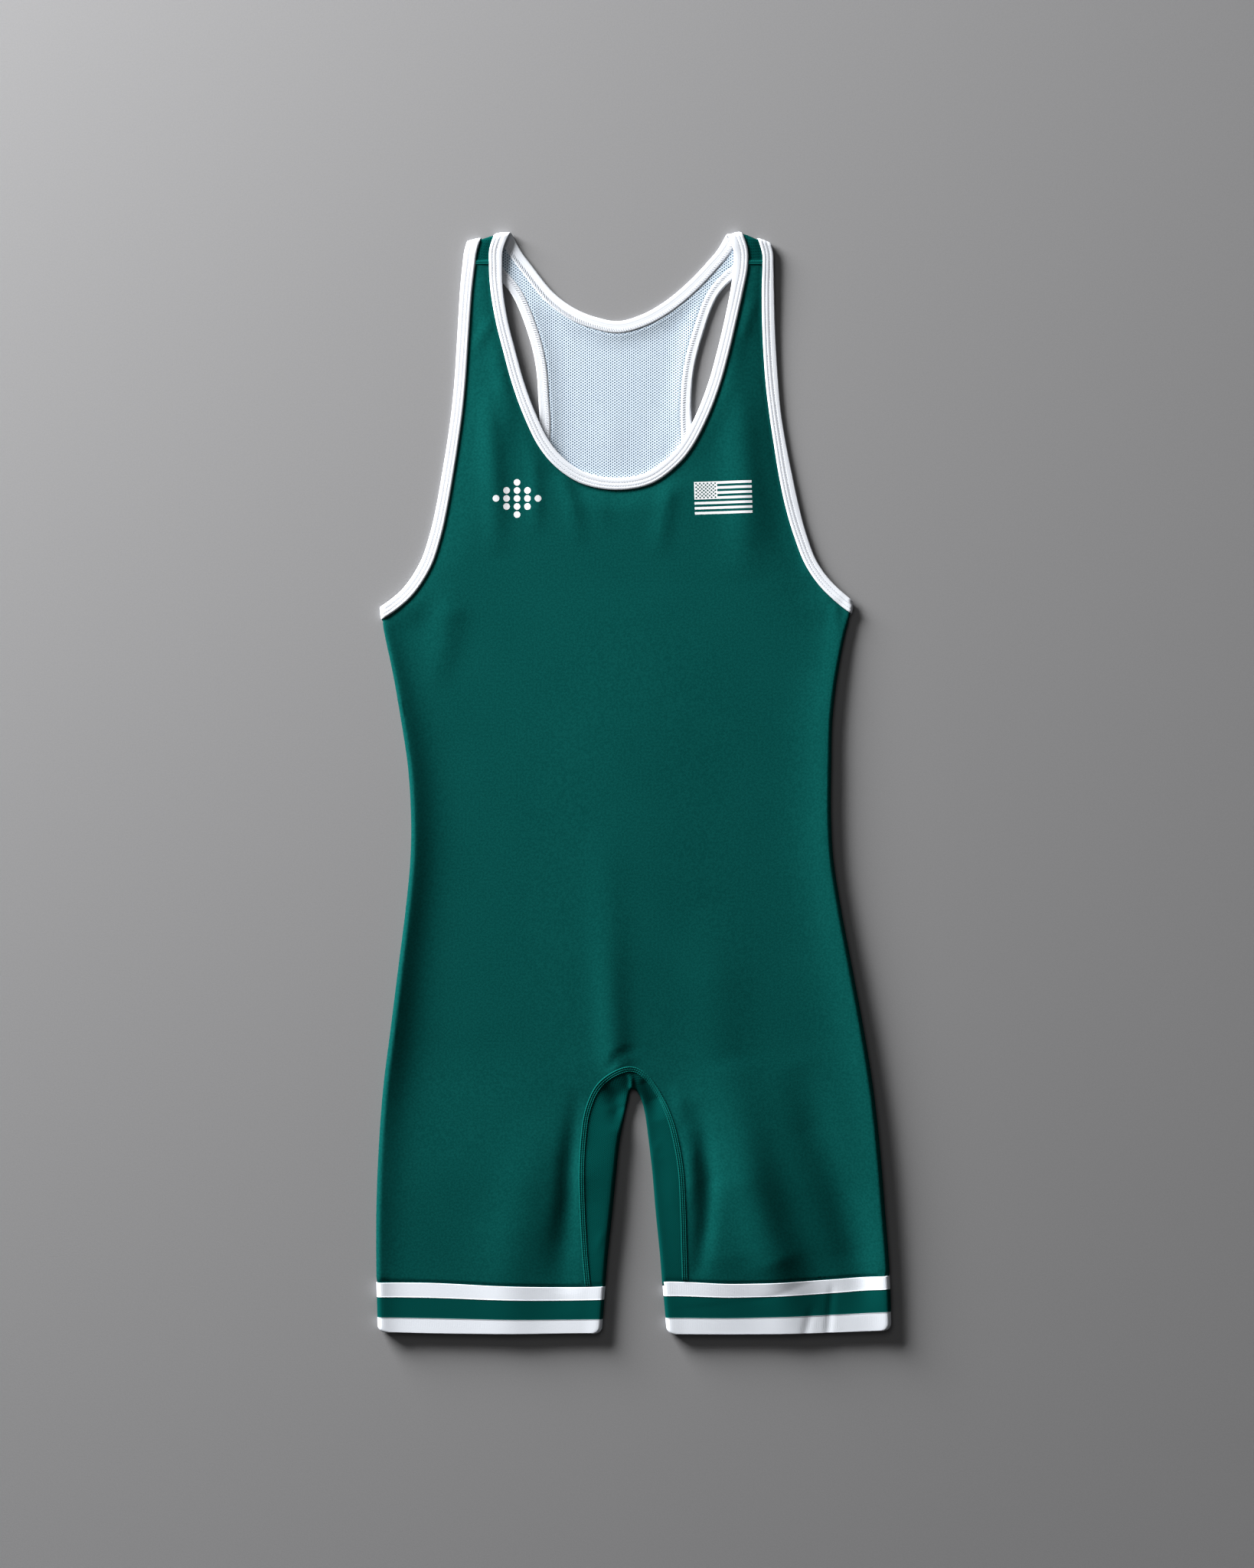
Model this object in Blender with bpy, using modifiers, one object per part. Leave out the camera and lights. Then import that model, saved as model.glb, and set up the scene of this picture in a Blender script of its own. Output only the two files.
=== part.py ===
"""A wrestling singlet laid flat, front up, head towards +Y, in millimetres until a mesh is written.

Left and right are as seen from above: left is -X. Each panel is a wall round a mid surface. It is cut
as a flat sheet and then folded: a point past a fold's start turns round the fold and lies on the other layer.
"""

import math

import bmesh
import bpy
import numpy as np
from mathutils.geometry import delaunay_2d_cdt

MM = 0.001
PANEL_WALL = 1.0
BINDING_THICKNESS = 2.0  # a tape folded in two
HEM_WALL = 1.4
SEAM_GAP = 0.3
SIDE_SEAM_INSET = 7.5  # the side seam lies under the garment, this far in from the side fold
GUSSET_BACK_WIDTH = 14.0
SHOULDER_SEAM_Y = 407.1
HEM_CORNER_RADIUS = 5.0
HEM_SEAM_Y = -388.0  # where the side seams meet the leg bands
BAND_MIDDLE_Y, BAND_DEPTH = -410.0, 38.0
BAND_DROPS = [0.0, 0.35, 0.7, 0.88, 0.93, 0.97, 1.0]  # rows of a leg band, as shares of its depth
BAND_COLUMNS = 13
SHOULDER_ZONE_Y, UNDERARM_ZONE_Y = 300.0, 170.0  # past these lines an edge may turn over a fold
BINDING_NOSE = 1.2  # the binding's folded edge narrows over this width
REST_HEIGHT = 3.1  # the front's mid surface where nothing lifts it
LOWEST_FRONT = 1.9
STRAP_TOP_Y = 421.0  # above this line the straps keep one height, so that they turn over evenly
NECK_MIDDLE = -13.0
FRONT, BACK = 1, -1

# Mesh steps.
CELL = 16.0
BACK_CELL = 30.0
BINDING_STEP = 9.0
FOLD_STEP = 1.5
FOLD_ANGLES = 6
RIM_CLEARANCE = 2.2  # inner points keep this far from a panel's cut edge
EDGE_ROW = 3.0  # a row of points follows the underarm's edge at this distance
SMOOTH_ANGLE = math.radians(40)

# Side folds: y, left x, right x.
SIDES = [
    (136.5, -198.6, 171.0), (121.5, -196.2, 166.8), (85.5, -188.7, 159.6), (49.5, -182.4, 155.4),
    (13.5, -177.0, 154.5), (-22.5, -174.6, 154.2), (-58.5, -174.9, 156.0), (-94.5, -178.2, 161.4),
    (-142.5, -184.2, 170.4), (-190.5, -190.2, 179.4), (-238.5, -196.2, 187.2), (-286.5, -199.8, 192.6),
    (-334.5, -201.6, 196.5), (-382.5, -201.6, 200.1), (-431.4, -200.4, 201.6),
]
# Rolls along the side folds: y, left height and width, right height and width, height of the trough inside.
SIDE_ROLLS = [
    (136.5, 3.9, 22.0, 3.9, 22.0, 3.5), (110.0, 4.1, 22.0, 4.0, 34.0, 3.0),
    (40.0, 4.5, 22.0, 4.4, 42.0, 2.4), (-60.0, 4.6, 24.0, 4.5, 44.0, 2.2),
    (-150.0, 4.9, 28.0, 4.8, 40.0, 2.2), (-250.0, 4.9, 32.0, 4.8, 36.0, 2.2),
    (-340.0, 4.4, 28.0, 4.5, 32.0, 2.3), (-390.0, 3.8, 22.0, 3.9, 26.0, 2.5),
    (-431.4, 3.4, 18.0, 3.4, 20.0, 2.6),
]
ROLL_CREST = 4.0  # a side roll is level this far in from the fold
ROLL_TOP_Y, ROLL_TOP_FADE = 158.0, 26.0  # the rolls rise from nothing below the armholes
FOLD_INSIDE = 3.0  # a fold joins the two layers as they stand this far in from it
# Top and bottom edges of the leg bands: x, top y, bottom y.
HEMS = [
    (-201.6, -390.9, -429.3), (-160.8, -391.2, -430.5), (-106.8, -393.6, -431.1), (-22.8, -393.9, -430.5),
    (21.6, -390.3, -431.1), (79.2, -391.8, -431.4), (139.2, -389.4, -430.5), (201.6, -385.5, -428.1),
]
# Inner fold of each leg at its band: y, left x, right x.
INNER_FOLDS = [(-376.5, -21.0, 21.0), (-431.4, -25.2, 25.8)]
INNER_ROLL_HEIGHT = 3.4
INNER_ROLL_CREST, INNER_ROLL_REACH = 3.0, 14.0
INNER_ROLL_TOP_Y, INNER_ROLL_FADE = -383.0, 8.0
# Shoulder folds: x, y of the outermost edge.
LEFT_SHOULDER = [
    (-134.4, 423.6), (-126.0, 425.6), (-117.0, 427.2), (-109.0, 429.6), (-103.0, 431.0), (-96.0, 431.4),
]
RIGHT_SHOULDER = [
    (76.2, 429.9), (80.4, 431.1), (86.4, 430.5), (90.6, 428.4), (95.4, 426.9), (100.8, 425.4), (109.2, 422.4),
]
# Heights of the bound edges on the front: y, neckline, armholes.
EDGE_HEIGHTS = [
    (421.0, 5.6, 3.6), (407.0, 4.4, 3.5), (385.0, 3.7, 3.1), (350.0, 3.1, 2.2), (320.0, 3.2, 1.8),
    (290.0, 3.4, 1.7), (250.0, 3.1, 1.7), (234.0, 2.6, 1.8), (193.0, 2.6, 1.9), (170.0, 2.6, 2.3),
    (150.0, 2.6, 3.2), (136.0, 2.6, 3.9),
]
EDGE_LEVEL = 4.8  # the cloth keeps a bound edge's height this far from the middle of its tape
ARMHOLE_REACH = 25.0
NECK_REACH = 18.0
BACK_EDGE_LEVEL, BACK_EDGE_REACH = 7.0, 8.0
BACK_STRAP_Y, BACK_STRAP_FADE = 385.0, 15.0  # the back straps rise to the middle of their bindings
# Bindings: layer, x, y, width, along the middle of the tape, and down the front first.
NECK = [
    (FRONT, -107.1, 419.0, 10.5), (FRONT, -108.0, 405.0, 10.2), (FRONT, -107.1, 385.5, 9.6),
    (FRONT, -103.2, 361.5, 9.2), (FRONT, -97.2, 337.5, 9.2), (FRONT, -90.6, 313.5, 9.2),
    (FRONT, -81.9, 289.5, 9.2), (FRONT, -70.2, 265.5, 9.2), (FRONT, -57.6, 250.5, 9.2),
    (FRONT, -39.6, 238.8, 9.2), (FRONT, -13.2, 234.0, 9.2), (FRONT, 12.0, 238.5, 9.2),
    (FRONT, 31.2, 252.3, 9.2), (FRONT, 42.0, 265.5, 9.2), (FRONT, 54.3, 289.5, 9.2),
    (FRONT, 63.3, 313.5, 9.2), (FRONT, 69.9, 337.5, 9.2), (FRONT, 75.6, 361.5, 9.2),
    (FRONT, 80.6, 385.5, 9.8), (FRONT, 83.6, 405.0, 11.0), (FRONT, 83.0, 419.0, 11.0),
    (BACK, 72.0, 418.5, 10.0), (BACK, 61.2, 405.0, 9.2), (BACK, 43.2, 386.4, 9.2),
    (BACK, 25.2, 372.0, 9.2), (BACK, 7.2, 362.1, 9.2), (BACK, -12.0, 357.0, 9.2),
    (BACK, -28.8, 359.7, 9.2), (BACK, -46.8, 366.6, 9.2), (BACK, -64.8, 379.5, 9.2),
    (BACK, -82.8, 401.4, 9.2), (BACK, -95.0, 418.5, 10.0),
]
LEFT_ARMHOLE = [
    (FRONT, -127.6, 417.0, 9.6), (FRONT, -129.3, 405.0, 9.6), (FRONT, -131.4, 385.5, 9.2),
    (FRONT, -133.8, 349.5, 8.8), (FRONT, -136.2, 313.5, 8.6), (FRONT, -138.6, 289.5, 8.6),
    (FRONT, -141.9, 265.5, 8.6), (FRONT, -145.8, 241.5, 8.8), (FRONT, -150.0, 217.5, 8.8),
    (FRONT, -155.4, 193.5, 9.0), (FRONT, -163.8, 169.5, 9.2), (FRONT, -180.9, 145.5, 9.2),
    (BACK, -187.0, 128.5, 9.2), (BACK, -168.0, 131.0, 9.2), (BACK, -136.8, 150.0, 9.2),
    (BACK, -108.0, 177.0, 9.2), (BACK, -84.0, 213.0, 9.2), (BACK, -73.2, 247.5, 9.0),
    (BACK, -69.9, 277.5, 8.6), (BACK, -70.8, 301.5, 8.0), (BACK, -72.6, 325.5, 8.0),
    (BACK, -78.0, 349.5, 8.0), (BACK, -91.7, 383.3, 8.0), (BACK, -107.2, 401.8, 8.2),
    (BACK, -119.5, 414.0, 9.0),
]
RIGHT_ARMHOLE = [
    (FRONT, 104.6, 416.0, 8.4), (FRONT, 105.2, 405.0, 8.6), (FRONT, 105.2, 385.5, 9.6),
    (FRONT, 106.1, 349.5, 10.0), (FRONT, 108.4, 313.5, 9.9), (FRONT, 110.9, 289.5, 9.2),
    (FRONT, 114.6, 265.5, 9.5), (FRONT, 118.9, 241.5, 10.3), (FRONT, 124.0, 217.5, 10.4),
    (FRONT, 130.7, 193.5, 9.6), (FRONT, 140.4, 169.5, 9.1), (FRONT, 157.4, 148.5, 9.0),
    (BACK, 159.8, 132.7, 9.1), (BACK, 140.0, 135.4, 9.2), (BACK, 109.2, 152.5, 9.2),
    (BACK, 80.0, 177.0, 9.2), (BACK, 58.2, 207.0, 9.2), (BACK, 46.2, 240.0, 9.0),
    (BACK, 41.4, 277.5, 8.6), (BACK, 41.1, 301.5, 8.0), (BACK, 43.5, 325.5, 8.0),
    (BACK, 49.5, 349.5, 8.0), (BACK, 62.3, 383.3, 8.0), (BACK, 79.6, 401.8, 8.2),
    (BACK, 95.0, 413.5, 8.6),
]
# Crotch gusset, from the left hem over the arch to the right: front seam x, y, inner fold x, y, fold height.
GUSSET = [
    (-37.8, -393.5, -22.5, -393.5, 3.4), (-40.2, -366.0, -20.2, -367.0, 3.7),
    (-41.9, -335.0, -17.0, -337.0, 3.9), (-42.6, -305.0, -13.9, -306.0, 3.7),
    (-41.2, -278.0, -11.2, -281.0, 3.1), (-37.8, -256.0, -7.4, -262.0, 2.4),
    (-29.4, -237.3, -4.6, -249.5, 2.0), (-15.6, -225.9, -3.2, -242.6, 1.9), (-1.0, -222.5, -0.9, -239.8, 1.9),
    (12.0, -230.3, 2.6, -242.0, 1.9), (22.2, -245.1, 6.0, -248.6, 2.0), (28.6, -259.0, 8.8, -259.8, 2.4),
    (33.5, -275.0, 11.0, -276.0, 2.9), (38.4, -302.1, 14.3, -304.0, 3.6), (40.2, -335.0, 17.0, -336.0, 3.9),
    (41.0, -365.0, 20.0, -366.0, 3.7), (41.8, -390.0, 22.2, -390.0, 3.4),
]
GUSSET_STATIONS = 45
GUSSET_COLUMNS = [0.0, 0.22, 0.5, 0.78, 1.0, 1.25, 1.5, 1.75, 2.0, 3.0]
GUSSET_RISE = 0.12  # the mesh is level with the front over this share of its width, then rises to its fold
# Ridges of the front (troughs where the height is negative): start x, y, end x, y, half width, height.
FOLDS = [
    (-105.6, 290.0, -105.6, 193.5, 9.0, 1.0), (-77.4, 252.0, -76.8, 199.5, 6.5, 0.7),
    (-54.6, 243.0, -48.0, 190.5, 6.5, 0.9), (-40.8, 234.0, -30.0, 199.5, 6.0, 0.6),
    (26.4, 243.0, 20.4, 196.5, 8.0, 0.8), (46.2, 254.0, 46.2, 199.5, 8.0, 0.4),
    (94.2, 302.0, 97.2, 193.5, 12.0, 0.9), (-21.6, -53.7, -15.0, -211.5, 11.0, 1.2),
    (75.0, -94.5, 86.4, -256.5, 24.0, 0.8), (130.2, -268.5, 156.0, -400.5, 16.0, -1.1),
    (103.2, -274.5, 109.2, -394.5, 14.0, 0.9), (-56.0, -274.5, -54.0, -358.5, 7.0, -1.1),
    (57.0, -274.5, 56.0, -358.5, 7.0, -1.1), (-166.0, -300.0, -178.0, -360.0, 9.0, 0.5),
]
FOLD_END = 18.0  # a ridge fades out over this length

GREEN = (0.006, 0.085, 0.070)
MESH_GREEN = (0.008, 0.105, 0.085)
WHITE = (0.80, 0.80, 0.82)


def through(rows):
    """A smooth function through the rows of a table, whose first column is the place."""
    rows = np.array(sorted(rows), float)
    places, values = rows[:, 0], rows[:, 1:]
    slopes = np.gradient(values, places, axis=0)

    def at(place):
        place = np.clip(np.asarray(place, float), places[0], places[-1])
        i = np.clip(np.searchsorted(places, place) - 1, 0, len(places) - 2)
        span = (places[i + 1] - places[i])[..., None]
        t = (place - places[i])[..., None] / span
        rise = t * t * (3 - 2 * t)
        return (
            values[i] * (1 - rise) + values[i + 1] * rise
            + span * t * (1 - t) * ((1 - t) * slopes[i] - t * slopes[i + 1])
        )

    return at


def ease(t):
    t = np.clip(t, 0.0, 1.0)
    return t * t * (3 - 2 * t)


def distance(x, y, line):
    """How far each point is from a line of points, in plan."""
    start, along = line[:-1], np.diff(line, axis=0)
    x, y = np.asarray(x, float)[..., None], np.asarray(y, float)[..., None]
    t = ((x - start[:, 0]) * along[:, 0] + (y - start[:, 1]) * along[:, 1]) / (along**2).sum(1)
    t = np.clip(t, 0, 1)
    return np.hypot(x - start[:, 0] - t * along[:, 0], y - start[:, 1] - t * along[:, 1]).min(-1)


def unit(vectors):
    return vectors / np.linalg.norm(vectors, axis=-1, keepdims=True)


def layer_line(rows, layer):
    return np.array([row[1:3] for row in rows if row[0] == layer])


sides = through(SIDES)
side_rolls = through(SIDE_ROLLS)
inner_folds = through(INNER_FOLDS)
hems = through(HEMS)
left_shoulder, right_shoulder = through(LEFT_SHOULDER), through(RIGHT_SHOULDER)
edge_heights = through(EDGE_HEIGHTS)
gusset_rows = through([(i, *row) for i, row in enumerate(GUSSET)])
front_neck = layer_line(NECK, FRONT)
front_armholes = [layer_line(LEFT_ARMHOLE, FRONT), layer_line(RIGHT_ARMHOLE, FRONT)]
back_bindings = [layer_line(rows, BACK) for rows in (NECK, LEFT_ARMHOLE, RIGHT_ARMHOLE)]


def side_edge(y, side):
    return sides(y)[..., 0 if side < 0 else 1]


def inner_edge(y, side):
    return inner_folds(y)[..., 0 if side < 0 else 1]


def ridges(x, y):
    height = np.zeros(np.broadcast(x, y).shape)
    for x0, y0, x1, y1, width, rise in FOLDS:
        length = math.hypot(x1 - x0, y1 - y0)
        ax, ay = (x1 - x0) / length, (y1 - y0) / length
        along = (x - x0) * ax + (y - y0) * ay
        across = (y - y0) * ax - (x - x0) * ay
        fade = ease(1 + along / FOLD_END) * ease(1 + (length - along) / FOLD_END)
        height = height + rise * fade * np.exp(-((across / width) ** 2))
    return height


def front_height(x, y):
    """Height of the front's mid surface in plan."""
    x, y = np.broadcast_arrays(np.asarray(x, float), np.minimum(np.asarray(y, float), STRAP_TOP_Y))
    z = np.maximum(REST_HEIGHT + ridges(x, y), LOWEST_FRONT)
    neck_z, arm_z = np.moveaxis(edge_heights(y), -1, 0)
    from_arm = np.minimum(*(distance(x, y, line) for line in front_armholes))
    by_neck = 1 - ease((distance(x, y, front_neck) - EDGE_LEVEL) / NECK_REACH)
    by_arm = 1 - ease((from_arm - EDGE_LEVEL) / ARMHOLE_REACH)
    rest = np.clip(1 - by_neck - by_arm, 0, 1)
    z = (z * rest + neck_z * by_neck + arm_z * by_arm) / (rest + by_neck + by_arm)
    left, right = np.moveaxis(sides(y), -1, 0)
    left_z, left_w, right_z, right_w, trough = np.moveaxis(side_rolls(y), -1, 0)
    below_arm = ease((ROLL_TOP_Y - y) / ROLL_TOP_FADE)
    for inside, crest, width in ((x - left, left_z, left_w), (right - x, right_z, right_w)):
        roll = trough + (crest - trough) * (1 - ease((inside - ROLL_CREST) / (width - ROLL_CREST)))
        share = below_arm * (1 - ease((inside - width) / width))
        z = z + (roll - z) * share
    inner = np.moveaxis(inner_folds(y), -1, 0)
    from_inner = np.abs(x - np.where(x < 0, inner[0], inner[1]))
    at_band = ease((INNER_ROLL_TOP_Y - y) / INNER_ROLL_FADE)
    at_band = at_band * (1 - ease((from_inner - INNER_ROLL_CREST) / INNER_ROLL_REACH))
    return z + (INNER_ROLL_HEIGHT - z) * at_band


def back_height(x, y):
    """Height of the back's mid surface: on the ground, and lifted to the middle of its bindings."""
    off = np.minimum.reduce([distance(x, y, line) for line in back_bindings])
    by_edge = 1 - ease((off - BACK_EDGE_LEVEL) / BACK_EDGE_REACH)
    on_strap = ease((np.asarray(y, float) - BACK_STRAP_Y) / BACK_STRAP_FADE)
    return PANEL_WALL / 2 + np.maximum(by_edge, on_strap) * (BINDING_THICKNESS - PANEL_WALL) / 2


def side_fold(y, side):
    """Centre x and radius of a side fold, and the heights that it joins."""
    inside = side_edge(y, side) - side * FOLD_INSIDE
    top, bottom = front_height(inside, y), back_height(inside, y)
    radius = (top - bottom) / 2
    return side_edge(y, side) - side * (PANEL_WALL / 2 + radius), radius, top, bottom


def shoulder_fold(x):
    """Centre y and radius of a shoulder fold, and the heights that it joins."""
    edge = np.where(np.asarray(x) < NECK_MIDDLE, left_shoulder(x)[..., 0], right_shoulder(x)[..., 0])
    top, bottom = front_height(x, STRAP_TOP_Y), BINDING_THICKNESS / 2
    radius = (top - bottom) / 2
    return edge - BINDING_THICKNESS / 2 - radius, radius, top, bottom


def over_side(x, y):
    """Trades a place on one panel's sheet for one on the other's, past the side fold."""
    side = -1 if x < NECK_MIDDLE else 1
    centre, radius, *_ = side_fold(y, side)
    return np.stack([2 * centre + side * math.pi * radius - x, y], -1)


def over_shoulder(x, y):
    """Trades a place on one panel's sheet for one on the other's, past the shoulder fold."""
    centre, radius, *_ = shoulder_fold(x)
    return np.stack([x, 2 * centre + math.pi * radius - y], -1)


def seam_place(y, side, layer):
    """The side seam: x on the front's sheet, or in plan for the back."""
    plan = side_edge(y, side) - side * SIDE_SEAM_INSET
    if layer == BACK:
        return plan - side * SEAM_GAP
    centre, radius, *_ = side_fold(y, side)
    return 2 * centre + side * math.pi * radius - plan


def turn(over, radius, top, bottom):
    """Bends what is past a fold's start round it. Returns the place across the fold, and the height."""
    angle = np.clip(over / radius, 0, math.pi)
    place = radius * np.sin(angle) - np.maximum(over - math.pi * radius, 0)
    return place, (top + bottom) / 2 + (top - bottom) / 2 * np.cos(angle)


def plan_x(u, y, side):
    """Plan place of a sheet place past a side fold."""
    centre, radius, top, bottom = side_fold(y, side)
    return centre + side * turn(side * (u - centre), radius, top, bottom)[0]


def front_sheet(u, v):
    """Where the front's sheet lies: flat in plan, round the side folds, and round the shoulder folds."""
    x, y, z = np.array(u, float), np.array(v, float), front_height(u, v)
    for side in (-1, 1):
        centre, radius, top, bottom = side_fold(v, side)
        over = side * (u - centre)
        past = (over > 0) & (v < ROLL_TOP_Y)
        place, bent = turn(over, radius, top, bottom)
        bent = np.where(over > math.pi * radius, back_height(centre + side * place, v), bent)
        x, z = np.where(past, centre + side * place, x), np.where(past, bent, z)
    centre, radius, top, bottom = shoulder_fold(u)
    past = v > centre
    place, bent = turn(v - centre, radius, top, bottom)
    return np.stack([x, np.where(past, centre + place, y), np.where(past, bent, z)], -1)


def back_sheet(u, v):
    """Where the back's sheet lies: on the ground, and round the shoulder folds onto the front."""
    centre, radius, top, bottom = shoulder_fold(u)
    past = v > centre
    place, bent = turn(v - centre, radius, bottom, top)
    bent = np.where(v - centre > math.pi * radius, front_height(u, centre + place), bent)
    y, z = np.where(past, centre + place, v), np.where(past, bent, back_height(u, v))
    return np.stack([np.array(u, float), y, z], -1)


def with_normals(sheet, u, v, facing):
    """Places of a mid surface and its unit normals, turned to the garment's outside."""
    e = 0.02
    normal = np.cross(sheet(u + e, v) - sheet(u - e, v), sheet(u, v + e) - sheet(u, v - e))
    return sheet(u, v), facing * unit(normal)


def add_object(name, points, faces, colour, roughness):
    mesh = bpy.data.meshes.new(name)
    mesh.from_pydata([tuple(point * MM) for point in points], [], [tuple(map(int, face)) for face in faces])
    build = bmesh.new()
    build.from_mesh(mesh)
    bmesh.ops.triangulate(build, faces=build.faces)
    bmesh.ops.recalc_face_normals(build, faces=build.faces)
    build.to_mesh(mesh)
    build.free()
    mesh.shade_smooth()
    mesh.set_sharp_from_angle(angle=SMOOTH_ANGLE)
    obj = bpy.data.objects.new(name, mesh)
    parts.objects.link(obj)
    material = bpy.data.materials.new(name)
    material.use_nodes = True
    shader = material.node_tree.nodes["Principled BSDF"]
    shader.inputs["Base Color"].default_value = (*colour, 1.0)
    shader.inputs["Roughness"].default_value = roughness
    shader.inputs["Metallic"].default_value = 0.0
    mesh.materials.append(material)
    return obj


def add_sheet(name, points, faces, wall, colour, roughness):
    """Adds a piece of cloth from its mid surface."""
    obj = add_object(name, points, faces, colour, roughness)
    solidify = obj.modifiers.new("wall", "SOLIDIFY")
    solidify.thickness = wall * MM
    solidify.offset = 0.0


def add_panel(name, cut, inside, sheet, colour, roughness):
    """Fills a panel's cut edge on its flat sheet and folds it."""
    rim = np.vstack([cut, cut[:1]])
    inside = inside[distance(inside[:, 0], inside[:, 1], rim) > RIM_CLEARANCE]
    flat = [tuple(place) for place in np.vstack([cut, inside])]
    edges = [(i, (i + 1) % len(cut)) for i in range(len(cut))]
    places, _, faces, *_ = delaunay_2d_cdt(flat, edges, [list(range(len(cut)))], 1, 1e-5)
    u, v = np.array([tuple(place) for place in places]).T
    add_sheet(name, sheet(u, v), faces, PANEL_WALL, colour, roughness)


def grid_faces(rows, columns, ring=False):
    """Faces of a grid of points, open or closed round its columns."""
    faces = []
    for i in range(rows - 1):
        for k in range(columns if ring else columns - 1):
            a, b = i * columns + k, i * columns + (k + 1) % columns
            faces.append((a, b, b + columns, a + columns))
    return faces


class Binding:
    """A closed tape along a bound edge, as stations on the sheets. cloth is the side that the panel is on."""

    FINE = 60  # samples between two rows of the table
    SECTION = [(0.0, 0.0), (BINDING_NOSE, 1.0), (None, 1.0), (None, -1.0), (BINDING_NOSE, -1.0)]

    def __init__(self, rows, cloth):
        samples = []
        for i in range(len(rows)):
            near = [rows[(i + k) % len(rows)] for k in (-1, 0, 1, 2)]
            layers = {row[0] for row in near}
            layer = layers.pop() if len(layers) == 1 else FRONT
            flat = np.array([self.on_sheet(row, layer) for row in near])
            chords = np.hypot(*np.diff(flat[:, :2], axis=0).T)
            knots = np.concatenate([[0], np.cumsum(np.sqrt(chords))])
            for t in np.linspace(knots[1], knots[2], self.FINE, endpoint=False):
                samples.append((layer, *self.blend(flat, knots, t)))
        self.pick(np.array(samples), cloth)

    @staticmethod
    def on_sheet(row, layer):
        place = np.array(row[1:3], float)
        if row[0] != layer:
            place = over_shoulder(*place) if place[1] > SHOULDER_ZONE_Y else over_side(*place)
        return *place, row[3]

    @staticmethod
    def blend(points, knots, t):
        """The place at t on the curve from the second point to the third."""
        points = list(points)
        for reach in (1, 2, 3):
            for k in range(4 - reach):
                low, high = (knots[1], knots[2]) if reach == 3 else (knots[k], knots[k + reach])
                share = (t - low) / (high - low)
                points[k] = points[k] * (1 - share) + points[k + 1] * share
        return points[0]

    def pick(self, samples, cloth):
        """Keeps a station every few millimetres, closer where the tape turns over."""
        ahead, behind = np.roll(samples, -1, 0), np.roll(samples, 1, 0)
        along = ahead[:, 1:3] - samples[:, 1:3]
        changes = ahead[:, 0] != samples[:, 0]
        along[changes] = samples[changes, 1:3] - behind[changes, 1:3]
        layer, u, v, width = samples.T
        height = self.lie(layer, u, v)[0][:, 2]
        on_ground = np.abs(height - BINDING_THICKNESS / 2) < 1e-6
        level = on_ground | ((layer == FRONT) & (np.abs(height - front_height(u, v)) < 1e-6))
        count = np.cumsum(np.hypot(*along.T) / np.where(level, BINDING_STEP, FOLD_STEP))
        total = round(count[-1])
        picks = np.searchsorted(count * total / count[-1], np.arange(total) + 0.5)
        tangent = unit(along)
        normal = np.stack([-tangent[:, 1], tangent[:, 0]], -1) * (layer * cloth)[:, None]
        self.layer, self.place, self.width = layer[picks], samples[picks, 1:3], width[picks]
        self.normal = normal[picks]

    @staticmethod
    def lie(layer, u, v):
        front, front_out = with_normals(front_sheet, u, v, 1)
        back, back_out = with_normals(back_sheet, u, v, -1)
        on_front = (layer == FRONT)[:, None]
        return np.where(on_front, front, back), np.where(on_front, front_out, back_out)

    def edge(self, off):
        """The line off millimetres beyond the edge that meets the panel."""
        return self.place + self.normal * (self.width / 2 + off)[:, None]

    def edge_on(self, layer, off=SEAM_GAP):
        """The seam line, or a line off from the tape, on one panel's sheet in the order of the table."""
        line = self.edge(off)
        chosen = self.layer == layer
        if layer == BACK:
            high, low = line[:, 1] > SHOULDER_ZONE_Y, line[:, 1] < UNDERARM_ZONE_Y
            for i in np.flatnonzero(~chosen & (high | low)):
                line[i] = over_shoulder(*line[i]) if high[i] else over_side(*line[i])
                chosen[i] = True
        start = int(np.argmin(chosen))
        return np.roll(line, -start, 0)[np.roll(chosen, -start)]

    def build(self, name):
        ring = []
        for inset, height in self.SECTION:
            across = self.width / 2 if inset is None else inset - self.width / 2
            place = self.place + self.normal * across[:, None]
            mid, out = self.lie(self.layer, place[:, 0], place[:, 1])
            ring.append(mid + out * height * BINDING_THICKNESS / 2)
        points = np.stack(ring, 1)
        points[..., 2] = np.maximum(points[..., 2], 0.0)
        count, corners = points.shape[:2]
        faces = np.array(grid_faces(count + 1, corners, ring=True)) % (count * corners)
        add_object(name, points.reshape(-1, 3), faces, WHITE, 0.55)


def keep(line, measure):
    """The stretch of a line where measure is not above zero, cut exactly where it changes."""
    values = measure(line)
    kept = []
    for i in range(len(line)):
        if i and (values[i - 1] <= 0) != (values[i] <= 0):
            share = values[i - 1] / (values[i - 1] - values[i])
            kept.append(line[i - 1] + share * (line[i] - line[i - 1]))
        if values[i] <= 0:
            kept.append(line[i])
    return np.array(kept)


def spaced(start, end, step):
    count = max(1, round(abs(end - start) / step))
    return np.linspace(start, end, count + 1)


def turned_columns(y, side):
    """Sheet places past a side fold, from the side seam to the fold's start."""
    centre, radius, *_ = side_fold(y, side)
    turns = [centre + side * radius * angle for angle in np.linspace(math.pi, 0, FOLD_ANGLES)]
    return np.array([seam_place(y, side, FRONT), *turns])


def roll_columns(y, side):
    return side_edge(y, side) - side * np.array([6.0, 11.0, 17.0, 26.0])


def join_cut(arms, lower, gusset_seam, neck_line):
    """A panel's cut edge. arms run down from the shoulder, and lower runs from the underarm to the gusset."""
    return np.vstack([arms[0], lower[0], gusset_seam, lower[1][::-1], arms[1][::-1], neck_line])


def hem_cut(x):
    return hems(x)[..., 0] + SEAM_GAP


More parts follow.
